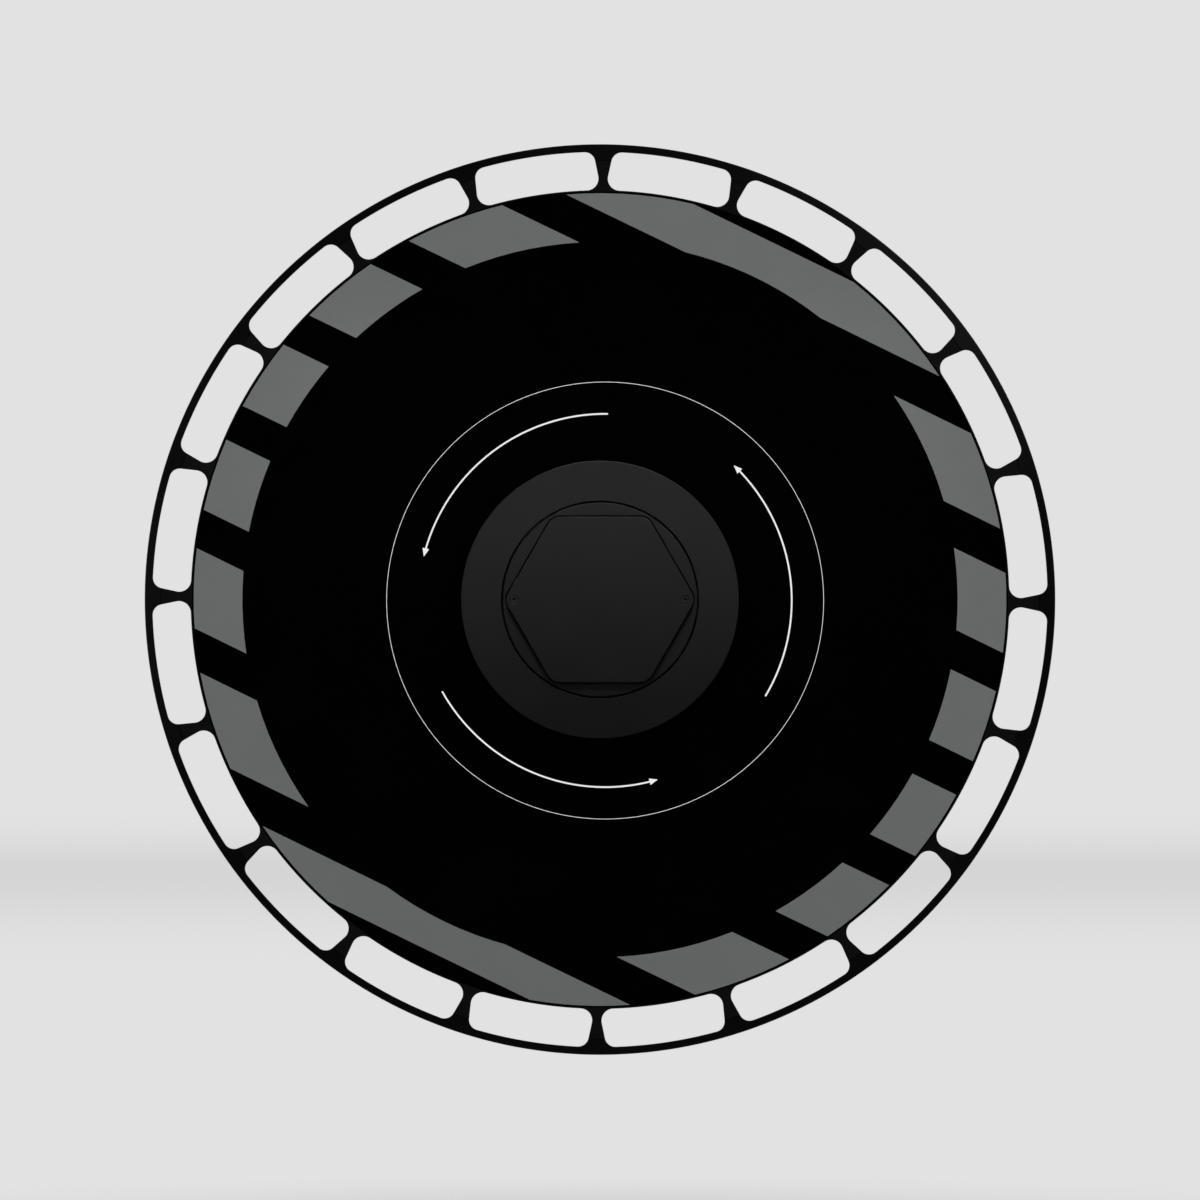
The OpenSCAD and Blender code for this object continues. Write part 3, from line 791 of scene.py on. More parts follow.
def new_piece(name: str, shape: bmesh.types.BMesh) -> bpy.types.Object:
    """Turn a finished bmesh into a smooth-shaded object.

    Args:
        name: The piece's name.
        shape: The mesh, which is freed.

    Returns:
        The object, linked to the scene.
    """
    bmesh.ops.recalc_face_normals(shape, faces=shape.faces)
    mesh = bpy.data.meshes.new(name)
    shape.to_mesh(mesh)
    shape.free()
    mesh.shade_smooth()
    mesh.set_sharp_from_angle(angle=SHARP)
    piece = bpy.data.objects.new(name, mesh)
    bpy.context.scene.collection.objects.link(piece)
    return piece


def weigh(piece: bpy.types.Object) -> bpy.types.Object:
    """Let the large faces of a piece set the shading of the roundings between them, and return it."""
    weighted = piece.modifiers.new("even_shading", "WEIGHTED_NORMAL")
    weighted.keep_sharp = True
    return piece


def turned(name: str, section: Section, segments: int) -> bpy.types.Object:
    """Make a piece by turning a closed section round the wheel's axis.

    Args:
        name: The piece's name.
        section: Its section.
        segments: Flats round the circle.

    Returns:
        The piece.
    """
    shape = bmesh.new()
    rings = []
    for spot in section.points():
        ring = []
        for k in range(segments):
            angle = math.tau * k / segments
            ring.append(shape.verts.new((spot.x * math.cos(angle), -spot.y, spot.x * math.sin(angle))))
        rings.append(ring)
    for k, ring in enumerate(rings):
        ahead = rings[(k + 1) % len(rings)]
        for m in range(segments):
            n = (m + 1) % segments
            shape.faces.new((ring[m], ring[n], ahead[n], ahead[m]))
    weld(shape)
    return weigh(new_piece(name, shape))


def radii(node: str) -> tuple[float, float]:
    """Return the smallest and largest distance of a node's points from the wheel's axis."""
    reach = [math.hypot(v.co.x, v.co.z) for v in frame["nodes"][node].data.vertices]
    return min(reach), max(reach)


def outs(node: str) -> tuple[float, float]:
    """Return how far out a node's back and front lie."""
    low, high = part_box(node)
    return -high.y, -low.y


def keep(node: str, finish: Finish) -> bpy.types.Object:
    """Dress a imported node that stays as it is.

    Args:
        node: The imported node.
        finish: Its finish.

    Returns:
        The node's object.
    """
    piece = frame["nodes"][node]
    if not piece.material_slots:
        piece.data.materials.append(None)
    for slot in piece.material_slots:
        slot.material = finish.material()
    return piece


def stand_in(piece: bpy.types.Object, finish: Finish, *nodes: str) -> bpy.types.Object:
    """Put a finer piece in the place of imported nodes.

    Args:
        piece: The new piece, modelled in its place.
        finish: Its finish.
        nodes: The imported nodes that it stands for. They ride on one body.

    Returns:
        The piece.
    """
    piece.data.materials.clear()
    piece.data.materials.append(finish.material())
    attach(piece, frame["nodes"][nodes[0]]["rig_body"])
    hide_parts(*nodes)
    return piece


def rounded(node: str, name: str, finish: Finish, width: float) -> bpy.types.Object:
    """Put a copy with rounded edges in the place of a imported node.

    Args:
        node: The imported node.
        name: The new piece's name.
        finish: Its finish.
        width: Width of the rounding.

    Returns:
        The rounded piece, which stays inside the node's box.
    """
    shape = bmesh.new()
    shape.from_mesh(frame["nodes"][node].data)
    weld(shape)
    bmesh.ops.dissolve_limit(shape, angle_limit=LEVEL, verts=shape.verts, edges=shape.edges)
    bent = [edge for edge in shape.edges if edge.is_manifold and edge.calc_face_angle() > BENT]
    bmesh.ops.bevel(shape, geom=bent, offset=width, offset_type="OFFSET", segments=ROUND_FLATS,
                    profile=0.5, affect="EDGES", clamp_overlap=False)
    low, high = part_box(node)
    for vert in shape.verts:
        vert.co = [min(max(at, least), most) for at, least, most in zip(vert.co, low, high)]
    return stand_in(weigh(new_piece(name, shape)), finish, node)


class Assembly(ABC):
    """A group of pieces that are made together."""

    @abstractmethod
    def build(self) -> Iterator[bpy.types.Object]:
        """Make and dress the group's pieces.

        Returns:
            The pieces, one after another.
        """


@dataclass(frozen=True)
class Row:
    """One line of points across the back of the disc, at one radius.

    Attributes:
        radius: Distance from the wheel's axis.
        radial: How deep a radial rib may be here.
        ring: How deep a round rib is here.
    """

    radius: float
    radial: float
    ring: float


@dataclass
class DiscShape:
    """Shape of the moulded disc, made for half a slot and set round the wheel. Its lengths are millimetres.

    A flat point's x runs out along the middle of a spoke, and its y points into the slot.

    Attributes:
        slots: Number of slots.
        turn: Angle of the first spoke.
        front: The front surface, as radius and distance out.
        back: The back surface, in the same way.
        slot_in: Radius of the slots' inner edge.
        slot_out: Radius of the slots' outer edge.
        half_spoke: Half the width of a spoke where it is narrowest.
        lean: Angle by which a slot's side leaves the spoke.
        in_round: Radius of a slot's inner corners.
        out_round: Radius of a slot's outer corners.
        front_edge: Rounding of the slots' front edges.
        back_edge: Rounding of the slots' back edges.
        half_rib: Half the thickness of a rib.
        rib_edge: Rounding of the ribs' edges.
        fillet: Radius at the ribs' roots.
        rib_top: The ribs' edges, as radius and distance out.
        round_ribs: Inner and outer radius of each round rib.
        rim: Section of the rim band behind the front edge, as radius and distance out.
        edge_round: Rounding of the front edge.
        edge_out: How far out the middle of that rounding lies.
        steps: Flats in a small rounding.
        arc_steps: Flats in half a slot's inner arc, inner corner, outer corner and outer arc.
        beside_bend: Distance from a bend in the surface to the points on both sides of it.
        beside_lip: The same distance where the lip begins.
        front_row: Radius of one more row of points on the front, near the bore.
        back_row: The same on the back.
        rib_row: The same between the round ribs.
        side_row: Radius of one more point of a slot's side.
    """

    slots: int = 20
    turn: float = math.radians(89.57)
    front: Line = ((53.85, 40.0), (188.2, 40.0), (214.0, 36.0), (231.2, 36.0), (240.0, 33.0))
    back: Line = ((53.85, 37.5), (188.2, 37.5), (214.0, 33.5), (231.2, 33.5), (236.3, 31.761))
    slot_in: float = 215.6
    slot_out: float = 235.9
    half_spoke: float = 2.48
    lean: float = math.radians(12)
    in_round: float = 6.3
    out_round: float = 5.6
    front_edge: float = 0.35
    back_edge: float = 0.22
    half_rib: float = 1.0
    rib_edge: float = 0.3
    fillet: float = 0.4
    rib_top: Line = ((76.0, 35.5), (236.8, 29.5))
    round_ribs: Line = ((131.1, 133.1), (212.0, 214.0))
    rim: Line = ((236.3, 29.25), (236.34, 29.10), (236.55, 29.0), (237.35, 29.0), (237.35, 30.55),
                 (238.95, 30.55), (238.95, 29.0), (239.75, 29.0), (239.93, 29.07), (240.0, 29.25))
    edge_round: float = 0.8
    edge_out: float = 32.4276
    steps: int = 3
    arc_steps: tuple[int, int, int, int] = (6, 10, 8, 5)
    beside_bend: float = 0.5
    beside_lip: float = 0.4
    front_row: float = 75.0
    back_row: float = 65.0
    rib_row: float = 160.0
    side_row: float = 227.0

    @property
    def half(self) -> float:
        """Angle from the middle of a spoke to the middle of the slot beside it."""
        return math.pi / self.slots

    @property
    def foot(self) -> float:
        """Distance from a rib's middle to the foot of its fillet."""
        return self.half_rib + self.fillet

    @property
    def slope(self) -> float:
        """Angle at which the front falls off along its edge."""
        (start, high), (end, low) = self.front[-2:]
        return math.atan2(high - low, end - start)

    @property
    def edge_r(self) -> float:
        """Radius at which the front edge's rounding begins."""
        return self.edge_round_r + self.edge_round * math.sin(self.slope)

    @property
    def edge_round_r(self) -> float:
        """Radius of the middle of the front edge's rounding."""
        return self.front[-1][0] - self.edge_round

    @staticmethod
    def level(line: Line, radius: float) -> float:
        """Read a line of radius and distance out.

        Args:
            line: The line.
            radius: Where it is read.

        Returns:
            How far out it is there.
        """
        ends = next((pair for pair in zip(line, line[1:]) if radius <= pair[1][0]), (line[-2], line[-1]))
        (low, start), (high, end) = ends
        return start + (end - start) * (radius - low) / (high - low)

    @staticmethod
    def polar(radius: float, angle: float) -> Vector:
        """Return a flat point."""
        return Vector((radius * math.cos(angle), radius * math.sin(angle)))

    @staticmethod
    def angle(spot: Vector) -> float:
        """Return a flat point's angle."""
        return math.atan2(spot.y, spot.x)

    @staticmethod
    def shares(count: int) -> list[float]:
        """Return the shares from 0 to 1 in even steps."""
        return [k / count for k in range(count + 1)]

    @staticmethod
    def between(start: float, end: float, share: float) -> float:
        """Return the number at a share of the way from start to end."""
        return start + (end - start) * share

    def rounding(self) -> list[tuple[float, float]]:
        """Return a quarter circle's sine and cosine, in steps."""
        quarter = math.pi / 2
        return [(math.sin(share * quarter), math.cos(share * quarter)) for share in self.shares(self.steps)]

    def outline(self) -> list[list[tuple[Vector, Vector]]]:
        """Return half a slot's outline in five stretches, each point with the way into the plastic.

        Returns:
            Inner arc, inner corner, side, outer corner and outer arc.
        """
        low = self.half_spoke + self.in_round
        inner = Vector((math.sqrt((self.slot_in + self.in_round) ** 2 - low * low), low))
        out_way = Vector((math.sin(self.lean), -math.cos(self.lean)))
        along = Vector((math.cos(self.lean), math.sin(self.lean)))
        start = inner + self.in_round * out_way
        line = start - self.out_round * out_way
        reach = self.slot_out - self.out_round
        ahead = line.dot(along)
        outer = line + along * (math.sqrt(ahead ** 2 - line.dot(line) + reach * reach) - ahead)
        end = outer + self.out_round * out_way
        in_angle, out_angle = self.angle(inner), self.angle(outer)
        side_angle = self.lean - math.pi / 2

        def arc(centre: Vector, radius: float, first: float, last: float, count: int, way: int = 1
                ) -> list[tuple[Vector, Vector]]:
            """Return the points of one arc, with the way that leads off it."""
            ways = [self.polar(1.0, self.between(first, last, share)) for share in self.shares(count)]
            return [(centre + radius * off, way * off) for off in ways]

        def side_point(radius: float) -> tuple[Vector, Vector]:
            """Return the point of the straight side at one radius, with the way off it."""
            return start.lerp(end, (radius - start.length) / (end.length - start.length)), out_way

        origin = Vector((0.0, 0.0))
        lip = self.front[-2][0]
        stops = (start.length, self.side_row, lip - self.beside_lip, lip + self.beside_lip, end.length)
        in_arc, in_corner, out_corner, out_arc = self.arc_steps
        return [
            arc(origin, self.slot_in, self.half, in_angle, in_arc, -1),
            arc(inner, self.in_round, in_angle + math.pi, side_angle + math.tau, in_corner),
            [side_point(radius) for radius in stops],
            arc(outer, self.out_round, side_angle, out_angle, out_corner),
            arc(origin, self.slot_out, out_angle, self.half, out_arc),
        ]

    def surround(self, inner: float, line: float, outer: float) -> list[Vector]:
        """Return a partner for each point of the slot's outline, on the field's border round it.

        Args:
            inner: Radius of the circle inside the slot.
            line: Distance of the border beside the slot from the spoke's middle.
            outer: Radius of the circle outside the slot.

        Returns:
            The partners, in the outline's order.
        """
        def beside(radius: float) -> Vector:
            """Return the point of the straight border at one radius."""
            return Vector((math.sqrt(radius * radius - line * line), line))

        in_arc, in_corner, side, out_corner, out_arc = self.outline()
        found = [self.polar(inner, self.angle(spot)) for spot, _ in in_arc]
        first_angle, side_start = self.angle(in_corner[0][0]), side[0][0].length
        for share in self.shares(len(in_corner) - 1):
            if share <= 0.5:
                angle = self.between(first_angle, math.asin(line / inner), 2 * share)
                found.append(self.polar(inner, angle))
            else:
                found.append(beside(self.between(inner, side_start, 2 * share - 1)))
        found += [beside(spot.length) for spot, _ in side]
        side_end, last_angle = side[-1][0].length, self.angle(out_corner[-1][0])
        for share in self.shares(len(out_corner) - 1):
            if share < 0.5:
                found.append(beside(self.between(side_end, outer, 2 * share)))
            else:
                angle = self.between(math.asin(line / outer), last_angle, 2 * share - 1)
                found.append(self.polar(outer, angle))
        return found + [self.polar(outer, self.angle(spot)) for spot, _ in out_arc]

    def raised(self, spots: Sequence[Vector], line: Line, drop: float = 0.0) -> list[Vector]:
        """Put flat points on a surface, or a little way behind it."""
        return [Vector((spot.x, spot.y, self.level(line, spot.length) - drop)) for spot in spots]

    def moved(self, spots: Sequence[Vector], radius: float) -> list[Vector]:
        """Move flat points in or out to one radius."""
        return [self.polar(radius, self.angle(spot)) for spot in spots]

    def slot_sheet(self, front_border: list[Vector], back_border: list[Vector]) -> list[list[Vector]]:
        """Make the plastic round a slot.

        Args:
            front_border: The field's border on the front.
            back_border: The field's border on the back.

        Returns:
            Rows of points from the front's border through the slot to the back's border.
        """
        outline = [pair for stretch in self.outline() for pair in stretch]
        rows = [self.raised(front_border, self.front)]
        for sine, cosine in self.rounding():
            edge = [spot + off * self.front_edge * (1 - sine) for spot, off in outline]
            rows.append(self.raised(edge, self.front, self.front_edge * (1 - cosine)))
        for sine, cosine in reversed(self.rounding()):
            edge = [spot + off * self.back_edge * (1 - sine) for spot, off in outline]
            rows.append(self.raised(edge, self.back, -self.back_edge * (1 - cosine)))
        rows.append(self.raised(back_border, self.back))
        return rows

    def full_depth(self, radius: float) -> float:
        """Return how far a rib's edge stands behind the back surface."""
        return max(0.0, self.level(self.back, radius) - self.level(self.rib_top, radius))

    def rib_profile(self, full: float) -> list[tuple[float, float]]:
        """Return the points across half a radial rib.

        Args:
            full: The rib's full depth.

        Returns:
            For each point its distance from the rib's middle and its depth.
        """
        flat = self.half_rib - self.rib_edge
        edge = [(flat + self.rib_edge * sine, full - self.rib_edge * (1 - cosine))
                for sine, cosine in self.rounding()]
        root = [(self.half_rib + self.fillet * (1 - cosine), self.fillet * (1 - sine))
                for sine, cosine in self.rounding()]
        return [(0.0, full)] + edge + root

    def rising(self, radius: float, way: int) -> list[tuple[float, float]]:
        """Return radius and depth of the points up one end of a rib.

        Args:
            radius: Where the rib's face is.
            way: 1 if the rib lies outside that radius, -1 if it lies inside.

        Returns:
            The points from the rib's foot to its edge.
        """
        full = self.full_depth(radius)
        foot = [(radius - way * self.fillet * (1 - cosine), self.fillet * (1 - sine))
                for sine, cosine in reversed(self.rounding())]
        edge = [(radius + way * self.rib_edge * (1 - cosine), full - self.rib_edge * (1 - sine))
                for sine, cosine in self.rounding()]
        return foot + edge

    def rows(self) -> list[Row]:
        """List the rows of points across the back.

        Returns:
            The rows, from the bore to the outer round rib's outer foot.
        """
        free = math.inf
        bend = self.back[1][0]
        found = [Row(radius, 0.0, 0.0) for radius in (self.back[0][0], self.back_row)]
        found += [Row(radius, depth, 0.0) for radius, depth in self.rising(self.rib_top[0][0], 1)]
        for inner, outer in self.round_ribs:
            found += [Row(radius, free, depth) for radius, depth in self.rising(inner, 1)]
            found += [Row(radius, free, depth) for radius, depth in reversed(self.rising(outer, -1))]
            if outer < bend:
                plain = (self.rib_row, bend - self.beside_bend, bend + self.beside_bend)
                found += [Row(radius, free, 0.0) for radius in plain]
        return found

    def back_sheet(self, border: Sequence[Vector]) -> list[list[Vector]]:
        """Return the back inside the slots, with its ribs.

        Args:
            border: The field's border at the slots' inner side, from the slot's middle to the rib's foot.

        Returns:
            Rows of points from the bore outwards, each from the rib's middle to the slot's middle.
        """
        start = math.asin(self.foot / border[0].length)
        spread = [(self.angle(spot) - start) / (self.half - start) for spot in reversed(border)][1:]
        sheet = []
        for row in self.rows():
            base = self.level(self.back, row.radius)
            line = []
            for across, depth in self.rib_profile(self.full_depth(row.radius)):
                deep = max(min(depth, row.radial), row.ring)
                line.append(Vector((*self.polar(row.radius, math.asin(across / row.radius)), base - deep)))
            for share in spread:
                angle = self.between(math.asin(self.foot / row.radius), self.half, share)
                line.append(Vector((*self.polar(row.radius, angle), base - row.ring)))
            sheet.append(line)
        return sheet

    def spoke_rib_sheet(self, border: Sequence[Vector]) -> list[list[Vector]]:
        """Make half the rib behind a spoke.

        Args:
            border: The field's straight border beside it.

        Returns:
            A row of points for each point of the border.
        """
        sheet = []
        for radius in (spot.length for spot in border):
            base = self.level(self.back, radius)
            sheet.append([Vector((*self.polar(radius, math.asin(across / radius)), base - depth))
                          for across, depth in self.rib_profile(self.full_depth(radius))])
        return sheet

    def rim_sheet(self, top: list[Vector]) -> list[list[Vector]]:
        """Return the rim band, from the back surface down its inner side and up its outer side."""
        rows = [[Vector((*spot, out)) for spot in self.moved(top, radius)] for radius, out in self.rim]
        return [top] + rows

    def edge_sheet(self, border: Sequence[Vector]) -> list[list[Vector]]:
        """Make the rounding of the front edge.

        Args:
            border: The field's border outside the slot.

        Returns:
            Rows of points from the front down to the rim band.
        """
        rows = []
        for share in self.shares(2 * self.steps):
            angle = self.between(math.pi / 2 - self.slope, 0.0, share)
            radius = self.edge_round_r + self.edge_round * math.cos(angle)
            out = self.edge_out + self.edge_round * math.sin(angle)
            rows.append([Vector((*spot, out)) for spot in self.moved(border, radius)])
        return rows

    def front_sheet(self, border: Sequence[Vector]) -> list[list[Vector]]:
        """Make the front inside the slots.

        Args:
            border: The field's border inside the slot.

        Returns:
            Rows of points from the bore to the border.
        """
        bend, out = self.front[1][0], self.front[2][0]
        stops = (self.front[0][0], self.front_row, bend - self.beside_bend, bend + self.beside_bend,
                 out - self.beside_bend, out)
        return [self.raised(self.moved(border, radius), self.front) for radius in stops]

    def build(self, name: str) -> bpy.types.Object:
        """Make the whole disc.

        Args:
            name: The piece's name.

        Returns:
            The disc, with no screw holes yet.
        """
        front_border = self.surround(self.front[2][0], 0.0, self.edge_r)
        back_border = self.surround(self.round_ribs[-1][1] + self.fillet, self.foot, self.back[-1][0])
        stretch = [len(part) for part in self.outline()]
        in_turn = stretch[0] + (stretch[1] - 1) // 2
        out_turn = sum(stretch[:3]) + (stretch[3] - 1) // 2
        back = self.back_sheet(back_border[:in_turn + 1])
        spoke_rib = self.spoke_rib_sheet(back_border[in_turn:out_turn + 1])
        rim = self.rim_sheet(spoke_rib[-1][:-1] + self.raised(back_border[out_turn:], self.back))
        front = self.front_sheet(front_border[:in_turn + 1][::-1])
        edge = self.edge_sheet(front_border[out_turn:])
        sheets = [self.slot_sheet(front_border, back_border), back, spoke_rib, rim, front, edge]
        seams = [(front[0], back[0]), (edge[-1], rim[-1])]
        shape = bmesh.new()
        for number in range(self.slots):
            for way in (1, -1):
                self.place(shape, sheets, seams, self.turn + 2 * self.half * number, way)
        weld(shape)
        return new_piece(name, shape)

    def place(self, shape: bmesh.types.BMesh, sheets: Sequence[Sequence[Sequence[Vector]]],
              seams: Sequence[tuple[Sequence[Vector], Sequence[Vector]]], angle: float, way: int) -> None:
        """Add half a slot's sheets and seams at one place round the wheel.

        Args:
            shape: The mesh.
            sheets: Grids of points.
            seams: Pairs of lines that are sewn together, whose points don't match.
            angle: Angle of the spoke.
            way: 1 or -1, the side of the spoke.
        """
        cosine, sine = math.cos(angle), math.sin(angle)

        def vertex(spot: Vector) -> bmesh.types.BMVert:
            """Add one point."""
            across = spot.y * way
            return shape.verts.new(((spot.x * cosine - across * sine) * MM, -spot.z * MM,
                                    (spot.x * sine + across * cosine) * MM))

        for sheet in sheets:
            grid = [[vertex(spot) for spot in row] for row in sheet]
            for row, ahead in zip(grid, grid[1:]):
                for k in range(len(row) - 1):
                    shape.faces.new((row[k], row[k + 1], ahead[k + 1], ahead[k]))
        for first, second in seams:
            self.sew(shape, [(self.angle(spot), vertex(spot)) for spot in first],
                     [(self.angle(spot), vertex(spot)) for spot in second])

    @staticmethod
    def sew(shape: bmesh.types.BMesh, first: Sequence[tuple[float, bmesh.types.BMVert]],
            second: Sequence[tuple[float, bmesh.types.BMVert]]) -> None:
        """Join two lines with triangles.

        Args:
            shape: The mesh.
            first: Angle and point of each place along one line.
            second: The same for the other line.
        """
        a, b = 0, 0
        while a + b < len(first) + len(second) - 2:
            if b == len(second) - 1 or (a < len(first) - 1 and first[a + 1][0] <= second[b + 1][0]):
                shape.faces.new((first[a][1], first[a + 1][1], second[b][1]))
                a += 1
            else:
                shape.faces.new((first[a][1], second[b + 1][1], second[b][1]))
                b += 1


@dataclass
class Disc(Assembly):
    """The slotted disc, its printed films and its edge seal.

    Attributes:
        holes: Number of the hub screws' holes.
        hole_at: Radius on which they lie.
        hole_d: Their diameter.
        hole_flats: Flats round a hole.
        circle_share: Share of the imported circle's width that its finer line has.
        arrow_share: The same share for the arrows.
        arrows: Number of arrows.
    """

    holes: int = 6
    hole_at: float = 60.925 * MM
    hole_d: float = 4.5 * MM
    hole_flats: int = 32
    circle_share: float = 0.5
    arrow_share: float = 0.8
    arrows: int = 3

    def build(self) -> Iterator[bpy.types.Object]:
        """Make the disc first, then the films on it and the seal behind it.

        Returns:
            The pieces, one after another.
        """
        yield self.moulding()
        yield keep("stripe_film", Finishes.grey_print)
        yield self.finer_line("circle_film", "printed_circle", self.circle_share)
        for number in range(1, self.arrows + 1):
            yield self.finer_line(f"arrow_film_{number}", f"printed_arrow_{number}", self.arrow_share)
        yield keep("edge_seal", Finishes.rubber)

    def drills(self) -> bpy.types.Object:
        """Make the drills of the hub screws' holes, which reach through the disc.

        Returns:
            The drills, as one object.
        """
        shape = bmesh.new()
        back, front = outs("aero_disc")
        radius = self.hole_d / 2
        for number in range(self.holes):
            angle = math.pi / 2 + math.tau * number / self.holes
            made = bmesh.ops.create_cone(shape, cap_ends=True, segments=self.hole_flats, radius1=radius,
                                         radius2=radius, depth=2 * (front - back))["verts"]
            place = (self.hole_at * math.cos(angle), -front, self.hole_at * math.sin(angle))
            bmesh.ops.rotate(shape, verts=made, cent=(0, 0, 0), matrix=Matrix.Rotation(math.pi / 2, 3, "X"))
            bmesh.ops.translate(shape, verts=made, vec=place)
        return new_piece("drills", shape)

    def moulding(self) -> bpy.types.Object:
        """Make the moulded disc and drill the holes for the hub's screws.

        Returns:
            The drilled disc.
        """
        piece = DiscShape().build("disc_moulding")
        drills = self.drills()
        cut = piece.modifiers.new("holes", "BOOLEAN")
        cut.operation = "DIFFERENCE"
        cut.solver = "EXACT"
        cut.object = drills
        bpy.context.view_layer.update()
        drilled = piece.evaluated_get(bpy.context.evaluated_depsgraph_get())
        finished = bpy.data.meshes.new_from_object(drilled)
        piece.modifiers.clear()
        piece.data = finished
        bpy.data.objects.remove(drills)
        return stand_in(weigh(piece), Finishes.disc, "aero_disc")

    @staticmethod
    def finer_line(node: str, name: str, share: float) -> bpy.types.Object:
        """Make a round printed line finer, towards its middle radius.

        Args:
            node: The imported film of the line.
            name: The new piece's name.
            share: Share of the film's width that is kept.

        Returns:
            The finer line.
        """
        low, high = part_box("circle_film")
        centre = Vector((low.x + high.x, 0.0, low.z + high.z)) / 2
        shape = bmesh.new()
        shape.from_mesh(frame["nodes"][node].data)
        spokes = [Vector((vert.co.x, 0.0, vert.co.z)) - centre for vert in shape.verts]
        reach = [spoke.length for spoke in spokes]
        line = (min(reach) + max(reach)) / 2
        for vert, spoke, radius in zip(shape.verts, spokes, reach):
            vert.co -= spoke * (1 - share) * (radius - line) / radius
        return stand_in(new_piece(name, shape), Finishes.white_print, node)


@dataclass
class HubFront(Assembly):
    """What shows of the hub from the front: ring, turning disc, hexagonal cap and its screws.

    Attributes:
        edge: Rounding of the small edges.
        big_edge: Rounding of the ring's front edge.
        play: Gap between the ring's register and the disc's bore.
        segments: Flats round a full circle.
    """

    edge: float = 0.25 * MM
    big_edge: float = 0.5 * MM
    play: float = 0.15 * MM
    segments: int = 288

    def build(self) -> Iterator[bpy.types.Object]:
        """Make the pieces from the outside in.

        Returns:
            The pieces, one after another.
        """
        yield self.ring()
        yield rounded("lock_disc", "turning_disc", Finishes.hub_ring, self.edge)
        yield rounded("hex_cap", "hexagon_cap", Finishes.hub_cap, self.edge)
        yield rounded("cap_screws", "round_cap_screws", Finishes.dark_screw, self.edge)
        yield keep("dust_ring", Finishes.rubber)

    def ring(self) -> bpy.types.Object:
        """Make the front ring, with the register that centres the disc.

        Returns:
            The ring.
        """
        bore, outside = radii("hub_plate")
        back, front = outs("hub_plate")
        register = radii("aero_disc")[0] - self.play
        face = outs("aero_disc")[1]
        section = Section((
            Corner(bore, back, self.edge),
            Corner(register, back, self.edge),
            Corner(register, face),
            Corner(outside, face, self.edge),
            Corner(outside, front, self.big_edge),
            Corner(bore, front, self.edge),
        ))
        return stand_in(turned("hub_ring", section, self.segments), Finishes.hub_ring, "hub_plate")


@dataclass
class HubRear(Assembly):
    """The hub behind the disc: body, rear cover, screws, bushes, washer and rubber seat.

    Attributes:
        edge: Rounding of the body's and the seat's edges.
        cover_edge: Rounding of the rear cover's edges.
        clip_edge: Rounding of the spring clips' edges.
        grooves: Number of grooves in the rubber seat.
        groove_w: Width of a groove at its floor, and its depth.
        groove_edge: Rounding of the grooves' edges.
        segments: Flats round the seat.
        steps: Flats in a rounded corner of the seat.
    """

    edge: float = 0.3 * MM
    cover_edge: float = 0.2 * MM
    clip_edge: float = 0.12 * MM
    grooves: int = 4
    groove_w: float = 0.5 * MM
    groove_edge: float = 0.1 * MM
    segments: int = 192
    steps: int = 2

    def build(self) -> Iterator[bpy.types.Object]:
        """Make the body first, then what it carries.

        Returns:
            The pieces, one after another.
        """
        yield rounded("hub_body", "turned_hub_body", Finishes.body, self.edge)
        yield rounded("rear_cover", "dished_cover", Finishes.body, self.cover_edge)
        for node in ("cover_circlip", "shaft_circlip"):
            yield rounded(node, f"round_{node}", Finishes.spring, self.clip_edge)
        yield keep("hub_screws", Finishes.screw)
        yield self.seat()
        yield keep("thrust_washer", Finishes.nylon)
        yield keep("front_bush", Finishes.bronze)
        yield keep("rear_bush", Finishes.bronze)

    def seat(self) -> bpy.types.Object:
        """Make the rubber seat, with round grooves in the face that the wheel presses on.

        Returns:
            The seat.
        """
        inside, outside = radii("seat_pad")
        back, front = outs("seat_pad")
        floor = back + self.groove_w
        pitch = (outside - inside) / (self.grooves + 1)
        corners = [Corner(inside, front, self.edge), Corner(inside, back, self.edge)]
        for number in range(1, self.grooves + 1):
            middle = inside + pitch * number
            corners += [
                Corner(middle - self.groove_w, back, self.groove_edge),
                Corner(middle - self.groove_w / 2, floor, self.groove_edge),
                Corner(middle + self.groove_w / 2, floor, self.groove_edge),
                Corner(middle + self.groove_w, back, self.groove_edge),
            ]
        corners += [Corner(outside, back, self.edge), Corner(outside, front, self.edge)]
        section = Section(tuple(corners), self.steps)
        return stand_in(turned("grooved_seat", section, self.segments), Finishes.rubber, "seat_pad")


@dataclass
class Lock(Assembly):
    """The scroll lock: shaft, cam plate, three bolts with their pins, stop pin and centre screw.

    Attributes:
        edge: Rounding of the edges.
        bolts: Number of bolts.
    """

    edge: float = 0.2 * MM
    bolts: int = 3

    def build(self) -> Iterator[bpy.types.Object]:
        """Make the turning pieces first, then the bolts.

        Returns:
            The pieces, one after another.
        """
        yield rounded("drive_shaft", "turned_shaft", Finishes.shaft, self.edge)
        yield rounded("cam_plate", "scroll_plate", Finishes.shaft, self.edge)
        yield keep("stop_pin", Finishes.shaft)
        yield keep("shaft_screw", Finishes.screw)
        for number in range(1, self.bolts + 1):
            yield rounded(f"lock_bolt_{number}", f"radial_bolt_{number}", Finishes.bolt, self.edge)
            yield keep(f"follower_pin_{number}", Finishes.bolt)


